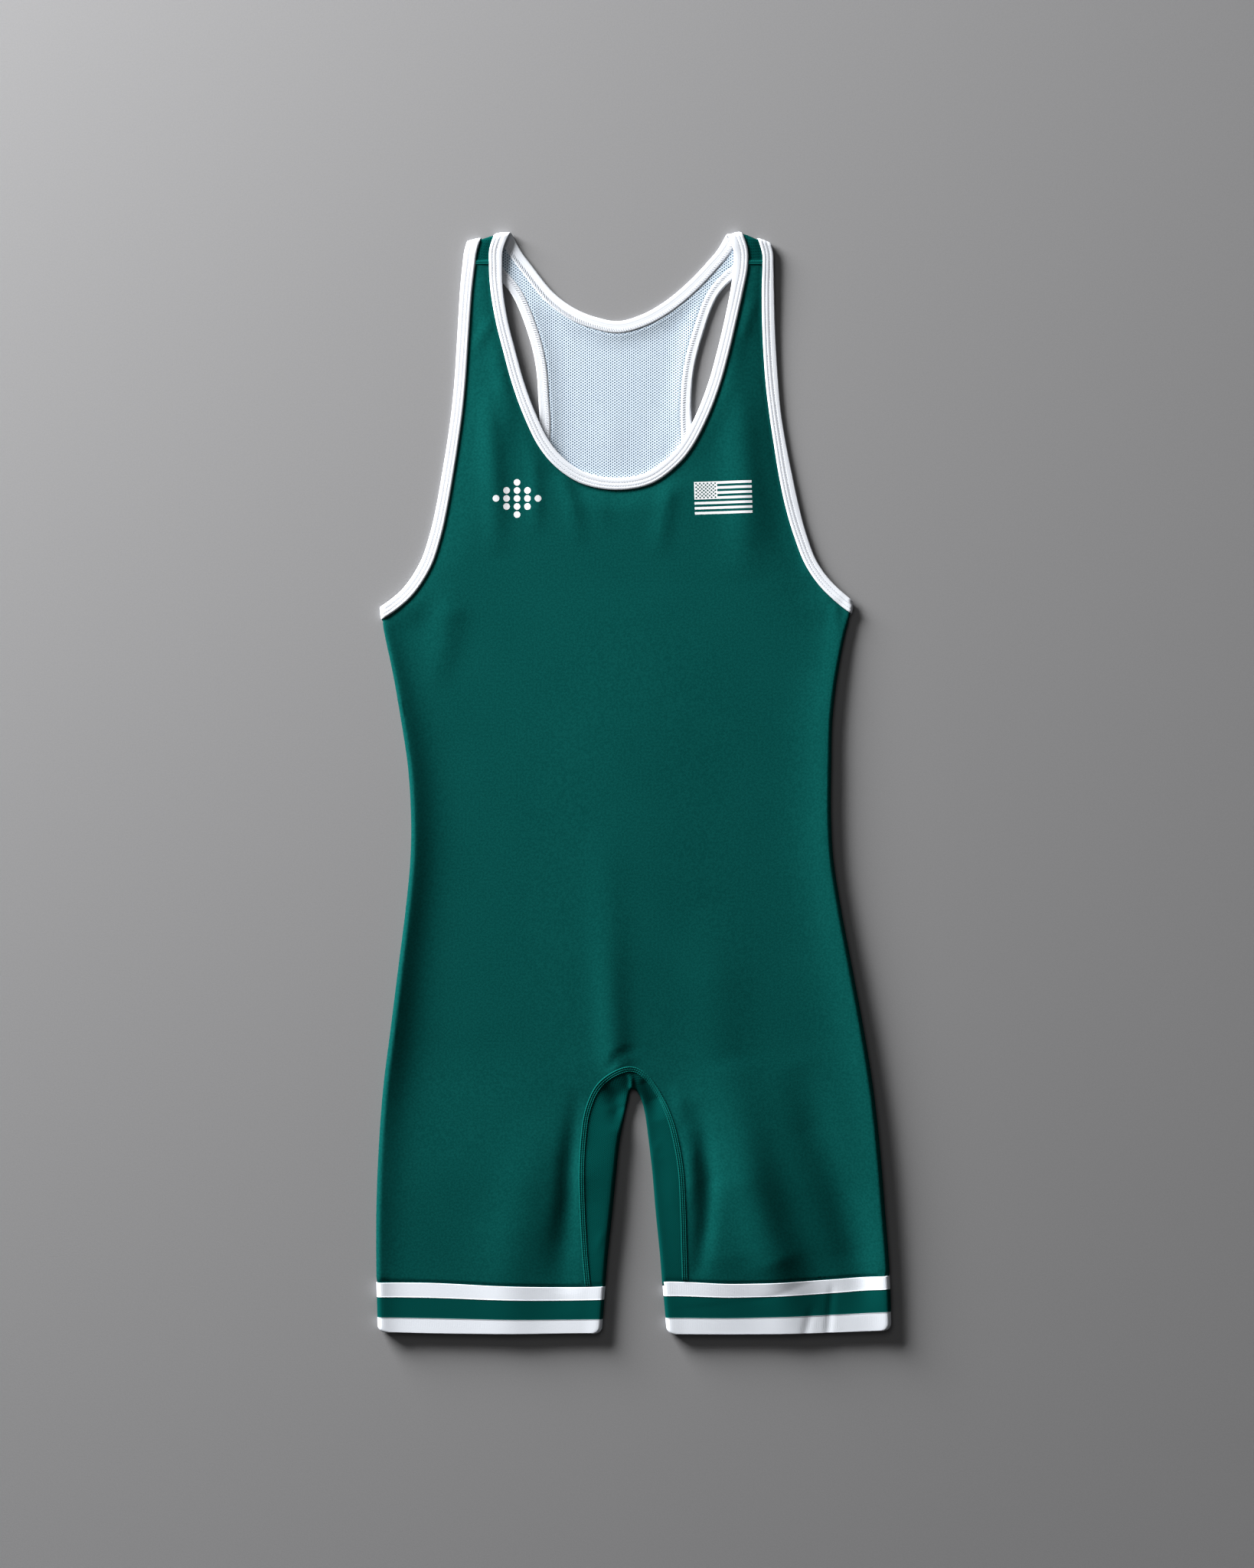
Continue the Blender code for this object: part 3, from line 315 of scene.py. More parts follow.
def workOutHeight(x, y):  # the middle of the front's cloth
    neckZ, armZ = edgeHeights(y)
    fromNeck = distance(x, y, frontNeck)
    fromArm = nearest(x, y, frontArmholes)
    byNeck = 1 - ease((fromNeck - lay["edgeLevel"]) / lay["neckReach"])
    byArm = 1 - ease((fromArm - lay["edgeLevel"]) / lay["armholeReach"])
    rest = np.clip(1 - byNeck - byArm, 0, 1)
    z = (lay["frontHeight"] * rest + neckZ * byNeck + armZ * byArm) / (rest + byNeck + byArm)
    rise, top, fade = lay["hemRise"]
    z = z + rise * ease((top - y) / fade)
    close, fade = lay["foldAtTape"]
    free = ease((np.minimum(fromNeck, fromArm) - close) / fade)
    z = z + foldRelief(lay["folds"], x, y) * lay["foldGain"] * free
    z = np.where(free > 0.2, np.maximum(z, lay["lowestFront"]), z)
    (left, right), (leftZ, leftWidth, rightZ, rightWidth) = sides(y), sideRolls(y)
    top, fade = lay["rollTop"]
    belowArm = ease((top - y) / fade)
    for inside, crest, width in ((x - left, leftZ, leftWidth), (right - x, rightZ, rightWidth)):
        roll = np.exp(-((np.maximum(inside - lay["rollCrest"], 0) / width) ** lay["rollShape"]))
        z = z + (crest - z) * roll * belowArm
    roll = lay["innerRoll"]
    fromInner = np.abs(x - np.where(x < 0, *innerFolds(y)))
    atBand = ease((roll["top"] - y) / roll["fade"]) * (1 - ease((fromInner - roll["crest"]) / roll["reach"]))
    return z + (roll["height"] - z) * atBand


mapX, mapY = np.arange(-230.0, 230.0), np.arange(-445.0, 440.0)
heightMap = workOutHeight(*np.meshgrid(mapX, np.minimum(mapY, lay["strapTop"]), indexing="ij"))


def frontHeight(x, y):
    x, y = np.broadcast_arrays(np.asarray(x, float) - mapX[0], np.asarray(y, float) - mapY[0])
    i = np.clip(x.astype(int), 0, len(mapX) - 2)
    k = np.clip(y.astype(int), 0, len(mapY) - 2)
    s, t = x - i, y - k
    low = heightMap[i, k] * (1 - s) + heightMap[i + 1, k] * s
    high = heightMap[i, k + 1] * (1 - s) + heightMap[i + 1, k + 1] * s
    return low * (1 - t) + high * t


def backHeight(x, y):
    x, y = np.broadcast_arrays(np.asarray(x, float), np.asarray(y, float))
    off = nearest(x, y, backTapes)
    (level, reach), (strap, fade), (close, clear) = lay["backEdge"], lay["backStrap"], lay["foldAtTape"]
    raised = np.maximum(1 - ease((off - level) / reach), ease((y - strap) / fade))
    low = cloth["panelWall"] / 2
    folds = foldRelief(lay["backFolds"], x, y) * ease((off - close) / clear)
    return low + raised * (tapes["half"] - low) + folds


def sideFold(y, side):
    inside = sideEdge(y, side) - side * lay["foldInside"]
    top, bottom = frontHeight(inside, y), backHeight(inside, y)
    radius = (top - bottom) / 2
    return sideEdge(y, side) - side * (cloth["panelWall"] / 2 + radius), radius, top, bottom


def shoulderFold(x):
    edge = np.where(np.asarray(x) < lay["middle"], leftShoulder(x)[0], rightShoulder(x)[0])
    top, bottom = frontHeight(x, lay["strapTop"]), tapes["half"]
    radius = (top - bottom) / 2
    return edge - tapes["half"] - radius, radius, top, bottom


def pastFold(place, centre, radius, side=1):  # where a place of one sheet lies on the other
    return 2 * centre + side * math.pi * radius - place


def overSide(x, y):
    side = -1 if x < lay["middle"] else 1
    return beside(pastFold(x, *sideFold(y, side)[:2], side), y)


def overShoulder(x, y):
    return beside(x, pastFold(y, *shoulderFold(x)[:2]))


def overFold(x, y):  # the same place on the other sheet
    return overShoulder(x, y) if y > tapes["shoulderZone"] else overSide(x, y)


seams = {"sideInset": 7.5, "shoulder": 407.1, "hem": -388.0}


def seamPlace(y, side, layer):
    plan = sideEdge(y, side) - side * seams["sideInset"]
    return plan if layer == back else pastFold(plan, *sideFold(y, side)[:2], side)


def turn(over, radius, top, bottom):
    angle = np.clip(over / radius, 0, math.pi)
    place = radius * np.sin(angle) - np.maximum(over - math.pi * radius, 0)
    return place, (top + bottom) / 2 + (top - bottom) / 2 * np.cos(angle)


def planX(u, y, side):
    centre, radius, top, bottom = sideFold(y, side)
    return centre + side * turn(side * (u - centre), radius, top, bottom)[0]


def overTop(u, v, z, layer):  # y and z of a sheet that turns over at the shoulders
    centre, radius, *levels = shoulderFold(u)
    place, bent = turn(v - centre, radius, *levels[::layer])
    if layer == back:
        bent = np.where(v - centre > math.pi * radius, frontHeight(u, centre + place), bent)
    past = v > centre
    return np.where(past, centre + place, v), np.where(past, bent, z)


def frontSheet(u, v):
    x, z = np.array(u, float), frontHeight(u, v)
    for side in (-1, 1):
        centre, radius, *levels = sideFold(v, side)
        over = side * (u - centre)
        past = (over > 0) & (v < lay["rollTop"][0])
        place, bent = turn(over, radius, *levels)
        bent = np.where(over > math.pi * radius, backHeight(centre + side * place, v), bent)
        x, z = np.where(past, centre + side * place, x), np.where(past, bent, z)
    return beside(x, *overTop(u, v, z, front))


def backSheet(u, v):
    return beside(np.array(u, float), *overTop(u, v, backHeight(u, v), back))


def withNormals(sheet, u, v, facing):
    e = 0.02
    normal = np.cross(sheet(u + e, v) - sheet(u - e, v), sheet(u, v + e) - sheet(u, v - e))
    return sheet(u, v), facing * unit(normal)


def addMesh(name, points, faces, uv=None, wall=0.0, finishes=(), offset=0.0, closed=False):
    mesh = bpy.data.meshes.new(name)
    points, joined = np.asarray(points), np.asarray(faces) if closed else faces
    if closed:  # where the sheet meets itself its points are shared
        _, first, index = np.unique(np.round(points, 4), axis=0, return_index=True, return_inverse=True)
        points, joined = points[first], index.reshape(-1)[joined]
    mesh.from_pydata((points * mm).tolist(), [], [list(map(int, face)) for face in joined])
    if uv is not None:
        corners = np.concatenate([np.asarray(face) for face in faces])
        layer = mesh.uv_layers.new(name="cut")
        layer.data.foreach_set("uv", (np.asarray(uv)[corners] * mm).ravel())
    mesh.shade_smooth()
    for finish in finishes:
        mesh.materials.append(finish)
    piece = bpy.data.objects.new(name, mesh)
    bpy.context.scene.collection.objects.link(piece)
    if wall:
        solid = piece.modifiers.new("wall", "SOLIDIFY")
        solid.thickness, solid.offset = wall * mm, offset
        solid.material_offset = len(finishes) - 1
    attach(piece, "root")
    return piece


def gridFaces(rows, columns):
    corners = [i * columns + k for i in range(rows - 1) for k in range(columns - 1)]
    return [(a, a + 1, a + columns + 1, a + columns) for a in corners]


def flatArea(uv, faces):
    corners = np.asarray(uv)[np.asarray(faces)]
    x, y = corners[..., 0], corners[..., 1]
    return abs((x * np.roll(y, -1, 1) - np.roll(x, -1, 1) * y).sum(1)).sum() / 2 * mm * mm


class Tape:  # stations along a bound edge, on the sheets
    def __init__(self, rows, clothSide):
        rows = [(layer, *row) for layer, part in rows.items() for row in part]
        samples = []
        for i in range(len(rows)):
            near = [rows[(i + k) % len(rows)] for k in (-1, 0, 1, 2)]
            layers = {row[0] for row in near}
            layer = layers.pop() if len(layers) == 1 else front
            flat = np.array([self.onSheet(row, layer) for row in near])
            chords = np.hypot(*np.diff(flat[:, :2], axis=0).T)
            knots = np.concatenate([[0], np.cumsum(np.sqrt(chords))])
            for t in np.linspace(knots[1], knots[2], 60, endpoint=False):
                samples.append((layer, *self.blend(flat, knots, t)))
        self.pick(np.array(samples), clothSide)

    @staticmethod
    def onSheet(row, layer):
        place = np.array(row[1:3], float)
        return *(place if row[0] == layer else overFold(*place)), row[3]

    @staticmethod
    def blend(points, knots, t):
        points = list(points)
        for reach in (1, 2, 3):
            for k in range(4 - reach):
                low, high = (knots[1], knots[2]) if reach == 3 else (knots[k], knots[k + reach])
                share = (t - low) / (high - low)
                points[k] = points[k] * (1 - share) + points[k + 1] * share
        return points[0]

    def pick(self, samples, clothSide):
        ahead, behind = np.roll(samples, -1, 0), np.roll(samples, 1, 0)
        along = ahead[:, 1:3] - samples[:, 1:3]
        changes = ahead[:, 0] != samples[:, 0]
        along[changes] = samples[changes, 1:3] - behind[changes, 1:3]
        layer, u, v, width = samples.T
        height = self.lie(layer, u, v)[0][:, 2]
        onGround = np.abs(height - tapes["half"]) < 1e-6
        level = onGround | ((layer == front) & (np.abs(height - frontHeight(u, v)) < 1e-6))
        count = np.cumsum(np.hypot(*along.T) / np.where(level, tapes["step"], tapes["turnStep"]))
        total = round(count[-1])
        picks = np.searchsorted(count * total / count[-1], np.arange(total) + 0.5)
        tangent = unit(along)
        normal = beside(-tangent[:, 1], tangent[:, 0]) * (layer * clothSide)[:, None]
        self.layer, self.place, self.width = layer[picks], samples[picks, 1:3], width[picks]
        self.normal = normal[picks]
        run = np.cumsum(np.hypot(*along.T))
        gaps = np.abs(run[:, None] - run[changes])
        own = 0.5 + 0.5 * ease(np.minimum(gaps, run[-1] - gaps).min(1) / tapes["blend"])[picks]
        over, overPlace, overNormal = self.layer.copy(), self.place.copy(), self.normal.copy()
        for i in np.flatnonzero(own < 1):  # the same place as reached over the fold
            here = overFold(*self.place[i])
            way = unit(overFold(*(self.place[i] + tangent[picks[i]] * 0.1)) - here)
            over[i], overPlace[i] = -self.layer[i], here
            overNormal[i] = np.array([-way[1], way[0]]) * over[i] * clothSide
        shares = own[:, None], 1 - own[:, None]
        self.ways = list(zip(shares, (self.layer, over), (self.place, overPlace), (self.normal, overNormal)))

    @staticmethod
    def lie(layer, u, v):
        top, topOut = withNormals(frontSheet, u, v, 1)
        under, underOut = withNormals(backSheet, u, v, -1)
        onFront = (layer == front)[:, None]
        return np.where(onFront, top, under), np.where(onFront, topOut, underOut)

    def line(self, kind, inset, height):  # one lengthwise line of the tape, and the way out of the garment
        across = self.width / 2 - inset if kind == "cloth" else inset - self.width / 2
        total, ways = 0.0, 0.0
        for share, layer, place, normal in self.ways:
            place = place + normal * across[:, None]
            middle, out = self.lie(layer, place[:, 0], place[:, 1])
            total, ways = total + middle * share, ways + out * share
        out = unit(ways)
        return total + out * height, out

    def edgeOn(self, layer, off):  # a line off from the tape's cloth edge, on one panel's sheet
        line = self.place + self.normal * (self.width / 2 + off)[:, None]
        chosen = self.layer == layer
        if layer == back:
            byFold = (line[:, 1] > tapes["shoulderZone"]) | (line[:, 1] < tapes["underarmZone"])
            for i in np.flatnonzero(~chosen & byFold):
                line[i] = overFold(*line[i])
            chosen |= byFold
        start = int(np.argmin(chosen))
        return np.roll(line, -start, 0)[np.roll(chosen, -start)]

    def build(self, name, finish):
        lines = [self.line(kind, *step)[0] for kind, part in tapes["section"] for step in part]
        points = np.stack(lines, 1)
        points[..., 2] = np.maximum(points[..., 2], tapes["wall"] / 2)
        count, corners = points.shape[:2]
        rise = runAlong(points.mean(0))
        points = np.concatenate([points, points[:1]])
        run = runAlong(points[:, 0])
        uv = gridPlaces(rise, run)
        self.length = float(run[-1])
        self.cutWidth = float(np.linalg.norm(np.diff(points, axis=1), axis=-1).sum(1).mean())
        faces = gridFaces(count + 1, corners)
        return addMesh(name, points.reshape(-1, 3), faces, uv, tapes["wall"], [finish], closed=True)


def keep(line, values):  # the part of a line where its values are below zero
    kept = []
    for i in range(len(line)):
        if i and (values[i - 1] <= 0) != (values[i] <= 0):
            share = values[i - 1] / (values[i - 1] - values[i])
            kept.append(line[i - 1] + share * (line[i] - line[i - 1]))
        if values[i] <= 0:
            kept.append(line[i])
    return np.array(kept)


def spaced(start, end, step):
    return np.linspace(start, end, max(1, round(abs(end - start) / step)) + 1)


def turnedColumns(y, side):
    centre, radius, *_ = sideFold(y, side)
    return np.array([centre + side * radius * angle for angle in np.linspace(math.pi, 0, cloth["foldTurns"])])


def rollColumns(y, side):
    return sideEdge(y, side) - side * np.array(cloth["rollRows"])


def hemCut(x):
    return hems(x)[0] - cloth["hemTuck"]


class Wire:  # a shader value that can be used in sums
    def __init__(self, look, socket):
        self.look, self.socket = look, socket

    def math(self, operation, *others):
        return self.look.node("ShaderNodeMath", {"operation": operation}, self, *others)

    __add__ = __radd__ = partialmethod(math, "ADD")
    __mul__ = __rmul__ = partialmethod(math, "MULTIPLY")
    __sub__ = partialmethod(math, "SUBTRACT")
    __truediv__ = partialmethod(math, "DIVIDE")

    def __rsub__(self, other):
        return self * -1 + other


class Look:  # one material
    def __init__(self, name, **fixed):
        self.material = bpy.data.materials.new(name)
        self.material.use_nodes = True
        self.tree = self.material.node_tree
        self.shader = self.tree.nodes["Principled BSDF"]
        for socket, value in fixed.items():
            self.feed(socket.replace("_", " "), value)

    def put(self, socket, value):
        if isinstance(value, Wire):
            self.tree.links.new(value.socket, socket)
        else:
            socket.default_value = value

    def node(self, kind, settings=None, *values, out=0, **named):
        node = self.tree.nodes.new(kind)
        for key, value in (settings or {}).items():
            setattr(node, key, value)
        for place, value in [*enumerate(values), *named.items()]:
            self.put(node.inputs[place], value)
        return Wire(self, node.outputs[out])

    def feed(self, socket, value):
        self.put(self.shader.inputs[socket], value)

    def paint(self, share, low, high):
        self.feed("Base Color", self.blend(share, low, high))

    def blend(self, share, low, high):
        node = self.tree.nodes.new("ShaderNodeMix")
        node.data_type = "RGBA"
        for place, value in ((0, share), (6, low), (7, high)):
            self.put(node.inputs[place], value if place == 0 or isinstance(value, Wire) else (*value, 1.0))
        return Wire(self, node.outputs[2])

    def cut(self):  # places on the flat cut, in metres
        split = self.tree.nodes.new("ShaderNodeSeparateXYZ")
        uv = self.node("ShaderNodeUVMap", {"uv_map": "cut"})
        self.tree.links.new(uv.socket, split.inputs[0])
        return Wire(self, split.outputs[0]), Wire(self, split.outputs[1])

    def noise(self, scale, detail=2.0, rough=0.5):
        place = self.node("ShaderNodeTexCoord", out="Object")
        size = {"Vector": place, "Scale": scale, "Detail": detail, "Roughness": rough}
        return self.node("ShaderNodeTexNoise", **size)

    def bump(self, height, depth, strength=1.0):
        relief = self.node("ShaderNodeBump", Strength=strength, Distance=depth, Height=height)
        self.feed("Normal", relief)

    def smooth(self, value, low, high):
        steps = {"interpolation_type": "SMOOTHSTEP"}
        return self.node("ShaderNodeMapRange", steps, value, low, high, 0.0, 1.0)


def shaded(colour, share):
    return [part * share for part in colour]


def wave(value, pitch):
    return (value * (2 * math.pi / pitch)).math("SINE")


def dotField(look, u, v, pitchU, pitchV, size, soft):  # staggered round dots: 1 inside a dot
    near = None
    for shift in (0.0, 0.5):
        du = ((u / pitchU + shift).math("FRACT") - 0.5) * pitchU
        dv = ((v / pitchV + shift).math("FRACT") - 0.5) * pitchV
        away = (du * du + dv * dv).math("SQRT")
        near = away if near is None else near.math("MINIMUM", away)
    return 1 - look.smooth(near, size - soft, size + soft)


looks = {
    "green": (0.0036, 0.076, 0.069),
    "greenDeep": (0.0017, 0.050, 0.0455),
    "net": (0.0014, 0.058, 0.052),
    "netHole": (0.001, 0.020, 0.0185),
    "inside": (0.60, 0.695, 0.785),
    "insideDot": (0.07, 0.12, 0.19),
    "white": (0.745, 0.775, 0.825),
    "bandWhite": (0.79, 0.83, 0.89),
    "bandGreen": (0.0015, 0.058, 0.052),
    "print": (0.84, 0.86, 0.88),
    "paintedShadeThread": (0.47, 0.50, 0.56),
    # white needle thread, darkened to grey: painted shade of the grooves it lies in
    "greyThread": (0.50, 0.53, 0.58),
    "greenSeam": (0.003, 0.085, 0.076),
    "greenThread": (0.008, 0.15, 0.13),
    "floor": (0.262, 0.262, 0.267),
}


def knitLook():
    look = Look("satinKnit", Specular_IOR_Level=0.0)
    u, v = look.cut()
    tone = look.noise(18.0, 3.0)
    grain = look.smooth(look.noise(650.0, 2.0), 0.32, 0.68)
    look.paint(tone * 0.4 + grain * 0.6, looks["greenDeep"], looks["green"])
    look.feed("Roughness", tone * 0.08 + 0.6)
    look.bump(wave(u, 0.0011) * wave(v, 0.0008) * 0.5 + grain * 0.5, 0.00005, 0.5)
    return look.material


# Pitches, size and softness of the holes, gloss, roughness, shade, strength of the relief.
nets = {
    "greenNet": (0.0033, 0.0022, 0.0004, 0.00022, 0.0, 0.65, 0.8, 0.7),
    "fineGreenNet": (0.0020, 0.0015, 0.0002, 0.00025, 0.0, 0.65, 0.8, 0.7),
    "insideMesh": (0.0033, 0.0022, 0.00055, 0.0002, 0.1, 0.6, 1.0, 0.6),
}


def netLook(name, colour, hole):
    pitchU, pitchV, size, soft, gloss, roughness, shade, strength = nets[name]
    look = Look(name, Roughness=roughness, Specular_IOR_Level=gloss)
    holes = dotField(look, *look.cut(), pitchU, pitchV, size, soft)
    base = look.blend(look.noise(40.0), shaded(looks[colour], shade), looks[colour])
    look.paint(holes, base, looks[hole])
    look.bump(1 - holes, 0.0002, strength)
    return look.material


def tapeLook():
    look = Look("whiteTape", Roughness=0.6, Specular_IOR_Level=0.1)
    u, v = look.cut()
    grain, tone = look.noise(1100.0, 1.0), look.noise(30.0, 3.0)
    white = looks["white"]
    look.paint(tone * 0.7 + grain * 0.3, shaded(white, 0.93), white)
    look.bump(wave(v, 0.0009) * 0.4 + wave(u, 0.0007) * 0.3 + grain * 0.6, 0.00006, 0.5)
    return look.material


def plainLook(name, colour, roughness, scale, depth, gloss):
    look = Look(name, Roughness=roughness, Specular_IOR_Level=gloss)
    grain = look.noise(scale, 2.0)
    look.paint(grain, shaded(colour, 0.88), colour)
    look.bump(grain, depth, 0.5)
    return look.material


bands = {
    "wall": 0.8, "middle": -410.0, "corner": 5.0, "depth": 38.0, "columns": 80, "turns": 10,
    # Rows down the band, as shares of its depth: first, middle from, to and count, last.
    "firstRows": (0, 0.01), "middleRows": (0.03, 0.88, 22), "lastRows": (0.91, 0.94, 0.96, 0.98, 0.99, 1),
    # Where white turns to green and back, as shares of the depth: x, first, second.
    "stripes": [
        (-200, 0.29, 0.705), (-150, 0.29, 0.7), (-30, 0.28, 0.7), (30, 0.27, 0.69), (110, 0.26, 0.67),
        (200, 0.24, 0.66),
    ],
}


def bandLook():
    look = Look("stripedBand", Roughness=0.65, Specular_IOR_Level=0.0)
    u, v = look.cut()  # v is the share of the depth, in thousandths
    grain = look.noise(1000.0, 1.0)
    inGreen = look.smooth(v, 0.000295, 0.000305) * (1 - look.smooth(v, 0.000695, 0.000705))
    look.paint(inGreen, looks["bandWhite"], looks["bandGreen"])
    ridge = 0.0
    for edge in (0.0003, 0.0007):
        ridge = (1 - look.smooth((v - edge).math("ABSOLUTE"), 0.000004, 0.00002)) + ridge
    look.bump(wave(u, 0.0009) * 0.1 + grain * 0.15 + ridge, 0.00025, 0.6)
    return look.material


knit, tapeWhite, striped = knitLook(), tapeLook(), bandLook()
net, fineNet = (netLook(name, "net", "netHole") for name in ("greenNet", "fineGreenNet"))
inside = netLook("insideMesh", "inside", "insideDot")
paintedShadeThread, greyThread = (
    plainLook(name, looks[name], 0.5, 2500.0, 0.00003, 0.1) for name in ("paintedShadeThread", "greyThread")
)
greenSeam, greenThread = (
    plainLook(name, looks[name], 0.6, 2500.0, 0.00003, 0.0) for name in ("greenSeam", "greenThread")
)
printWhite = plainLook("printWhite", looks["print"], 0.5, 900.0, 0.00002, 0.1)
printGreen = plainLook("printGreen", looks["bandGreen"], 0.6, 900.0, 0.00002, 0.0)
print("looks made")

neck = Tape(tapes["neck"], -1)
leftArmhole = Tape(tapes["leftArmhole"], 1)
rightArmhole = Tape(tapes["rightArmhole"], -1)
allTapes = (neck, leftArmhole, rightArmhole)
edges = {layer: [tape.edgeOn(layer, 0.0) for tape in allTapes] for layer in (front, back)}
print("tapes laid out")

# Crotch gusset, over the arch from the left hem to the right.
gusset = {
    # Outer seam x, y, inner fold x, y, height of the inner fold.
    "rows": [
        (-37.6, -396.3, -22.6, -396.3, 6.2), (-40.2, -366, -20.2, -367, 6.6), (-41.9, -335, -17, -337, 6.9),
        (-42.6, -305, -13.9, -306, 6.8), (-41.2, -278, -11.2, -281, 6.4), (-37.8, -256, -7.4, -262, 5.8),
        (-29.4, -237.3, -4.6, -249.5, 5), (-15.6, -225.9, -3.2, -242.6, 4.4),
        (-1, -222.5, -0.9, -239.8, 4.4), (12, -230.3, 2.6, -242, 4.2), (22.2, -245.1, 6, -248.6, 4),
        (28.6, -259, 8.8, -259.8, 4), (33.5, -275, 11, -276, 4.2), (38.4, -302.1, 14.3, -304, 5),
        (40.2, -335, 17, -336, 5.6), (41, -365, 20, -366, 5.9), (41.8, -393.3, 22.2, -393.3, 6.2),
    ],
    # Creases and hollows, given as the folds are.
    "creases": [
        [(-22, -238, 5, -1), (-15, -246, 6.5, -3.6), (-12.5, -254, 6, -3.6), (-13, -272, 6, 0)],
        [(-5, -228, 1.6, 0.3), (-2, -232, 1.6, 1.6), (-2, -238, 1.8, 1.7), (3, -246, 2, 1.1),
         (7, -254, 3, 0)],
        [(9, -236, 4, -1.4), (16, -248, 6, -2.8), (20, -264, 6, 0)],
        [(-21, -257.5, 1.6, 0), (-14, -253, 1.6, 0.5), (-7, -249, 1.6, 0)],
        [(14, -296, 1.4, 0), (18, -284, 1.4, 0.45), (22, -279, 1.4, 0)],
        [(14.5, -292, 1.4, 0), (20, -294, 1.4, 0.4), (26, -297, 1.4, 0)],
        [(-24, -348, 1.6, 0), (-26, -357, 1.8, 0.5), (-30, -368, 1.6, 0)],
    ],
    "stations": 190, "backWidth": 14, "rise": 0.12,
    "bySeam": 0.25,  # creases grow from nothing over this share of the face
    "leastZ": 0.8,  # hollows stay above this height
    "cutShare": 1.25,  # the cut's length over the inner fold's
    "columns": [
        0, 0.06, 0.12, 0.2, 0.3, 0.42, 0.55, 0.68, 0.8, 0.9, 1, 1.12, 1.25, 1.4, 1.55, 1.7, 1.85, 2, 2.2,
        2.5, 2.8, 3,
    ],
}
gussetRows = through([(i, *row) for i, row in enumerate(gusset["rows"])])


def gussetFrame(t):
    seamX, seamY, foldX, foldY, top = gussetRows(t)
    seam, fold = beside(seamX, seamY), beside(foldX, foldY)
    return seam, fold, unit(seam - fold), top


stations = np.linspace(0, len(gusset["rows"]) - 1, gusset["stations"])
frontSeam, innerFold, outward, _ = gussetFrame(stations)
backSeam = innerFold + outward * gusset["backWidth"]


def hemShift(x, y):  # how far cloth is pushed inwards where it runs under a leg band
    start, fade = cloth["hemZone"]
    return cloth["hemSink"] * ease((hems(x)[0] + start - y) / fade)


def edgeShift(u, v, layer):  # cloth is drawn in a little beside the tapes
    off, (full, level, fade) = nearest(u, v, edges[layer]), cloth["sinkZone"]
    return cloth["sink"] * ease(off / full) * (1 - ease((off - level) / fade))


def addPanel(name, layer, cut, inner, sheet, finishes):
    inner = inner[distance(inner[:, 0], inner[:, 1], np.vstack([cut, cut[:1]])) > cloth["rimClear"]]
    flat = [tuple(place) for place in np.vstack([cut, inner])]
    ring = [(i, (i + 1) % len(cut)) for i in range(len(cut))]
    places, _, faces, *_ = delaunay_2d_cdt(flat, ring, [list(range(len(cut)))], 1, 1e-5)
    used, faces = np.unique(np.array(faces), return_inverse=True)
    places, faces = np.array([tuple(places[i]) for i in used]), faces.reshape(-1, 3)
    if layer == back:
        faces = faces[:, ::-1]
    u, v = places.T
    points, out = withNormals(sheet, u, v, layer)
    shift = np.maximum(hemShift(points[:, 0], v), edgeShift(u, v, layer))
    points = points - out * shift[:, None]
    points[:, 2] = np.maximum(points[:, 2], cloth["panelWall"] / 2)
    piece = addMesh(name, points, faces, places, cloth["panelWall"], finishes)
    print(name, "made:", len(faces), "faces")
    return piece, np.ptp(places, axis=0) * mm, flatArea(places, faces)


def panelCut(layer, gussetSeam):
    def belowShoulder(line):  # the seam lies on the front: the back reaches it over the fold
        height = seams["shoulder"]
        if layer == back:
            height = overShoulder(line[:, 0], height)[:, 1]
        return keep(line, line[:, 1] - height)

    tuck, rows = -cloth["tuck"], []
    for side, tape, inner in ((-1, leftArmhole, gussetSeam[0]), (1, rightArmhole, gussetSeam[-1])):
        arm = belowShoulder(tape.edgeOn(layer, tuck))[::layer]
        arm = keep(arm, side * (arm[:, 0] - seamPlace(arm[:, 1], side, layer)))
        start = seamPlace(seams["hem"], side, back)
        bottom = hemCut(start)
        heights = spaced(arm[-1][1], bottom, cloth["frontGrid"])[1:-1]
        seam = beside(seamPlace(heights, side, layer), heights)
        xs = plan = spaced(start, inner[0], cloth["backGrid"])[:-1]
        if layer == front:
            turned = np.concatenate([[seamPlace(bottom, side, front)], turnedColumns(bottom, side)])
            rolled = rollColumns(bottom, side)
            level = np.concatenate([rolled, spaced(rolled[-1], inner[0], cloth["frontGrid"])[1:-1]])
            xs, plan = (np.concatenate([part, level]) for part in (turned, planX(turned, bottom, side)))
        rows.append(np.vstack([arm, seam, beside(xs, hemCut(plan))]))
    return np.vstack([rows[0], gussetSeam, rows[1][::-1], belowShoulder(neck.edgeOn(layer, tuck))[::-layer]])


def withRows(points, layer, seam, step):  # the grid's points clear of the tapes, and rows beside every edge
    points = np.array(points)
    points = points[nearest(points[:, 0], points[:, 1], edges[layer]) > cloth["tapeClear"]]
    tapeRows = [place for tape in allTapes for off in cloth["tapeRows"] for place in tape.edgeOn(layer, off)]
    seamRows = np.vstack([seam + outward * off for off in cloth["seamRows"]])
    hemRows = []
    for side in (-1, 1):
        for x in spaced(*(side * end for end in cloth["hemRun"]), step):
            hemRows += [(x, hems(x)[0] + off) for off in cloth["hemRows"]]
    return np.vstack([points, tapeRows, seamRows, hemRows])


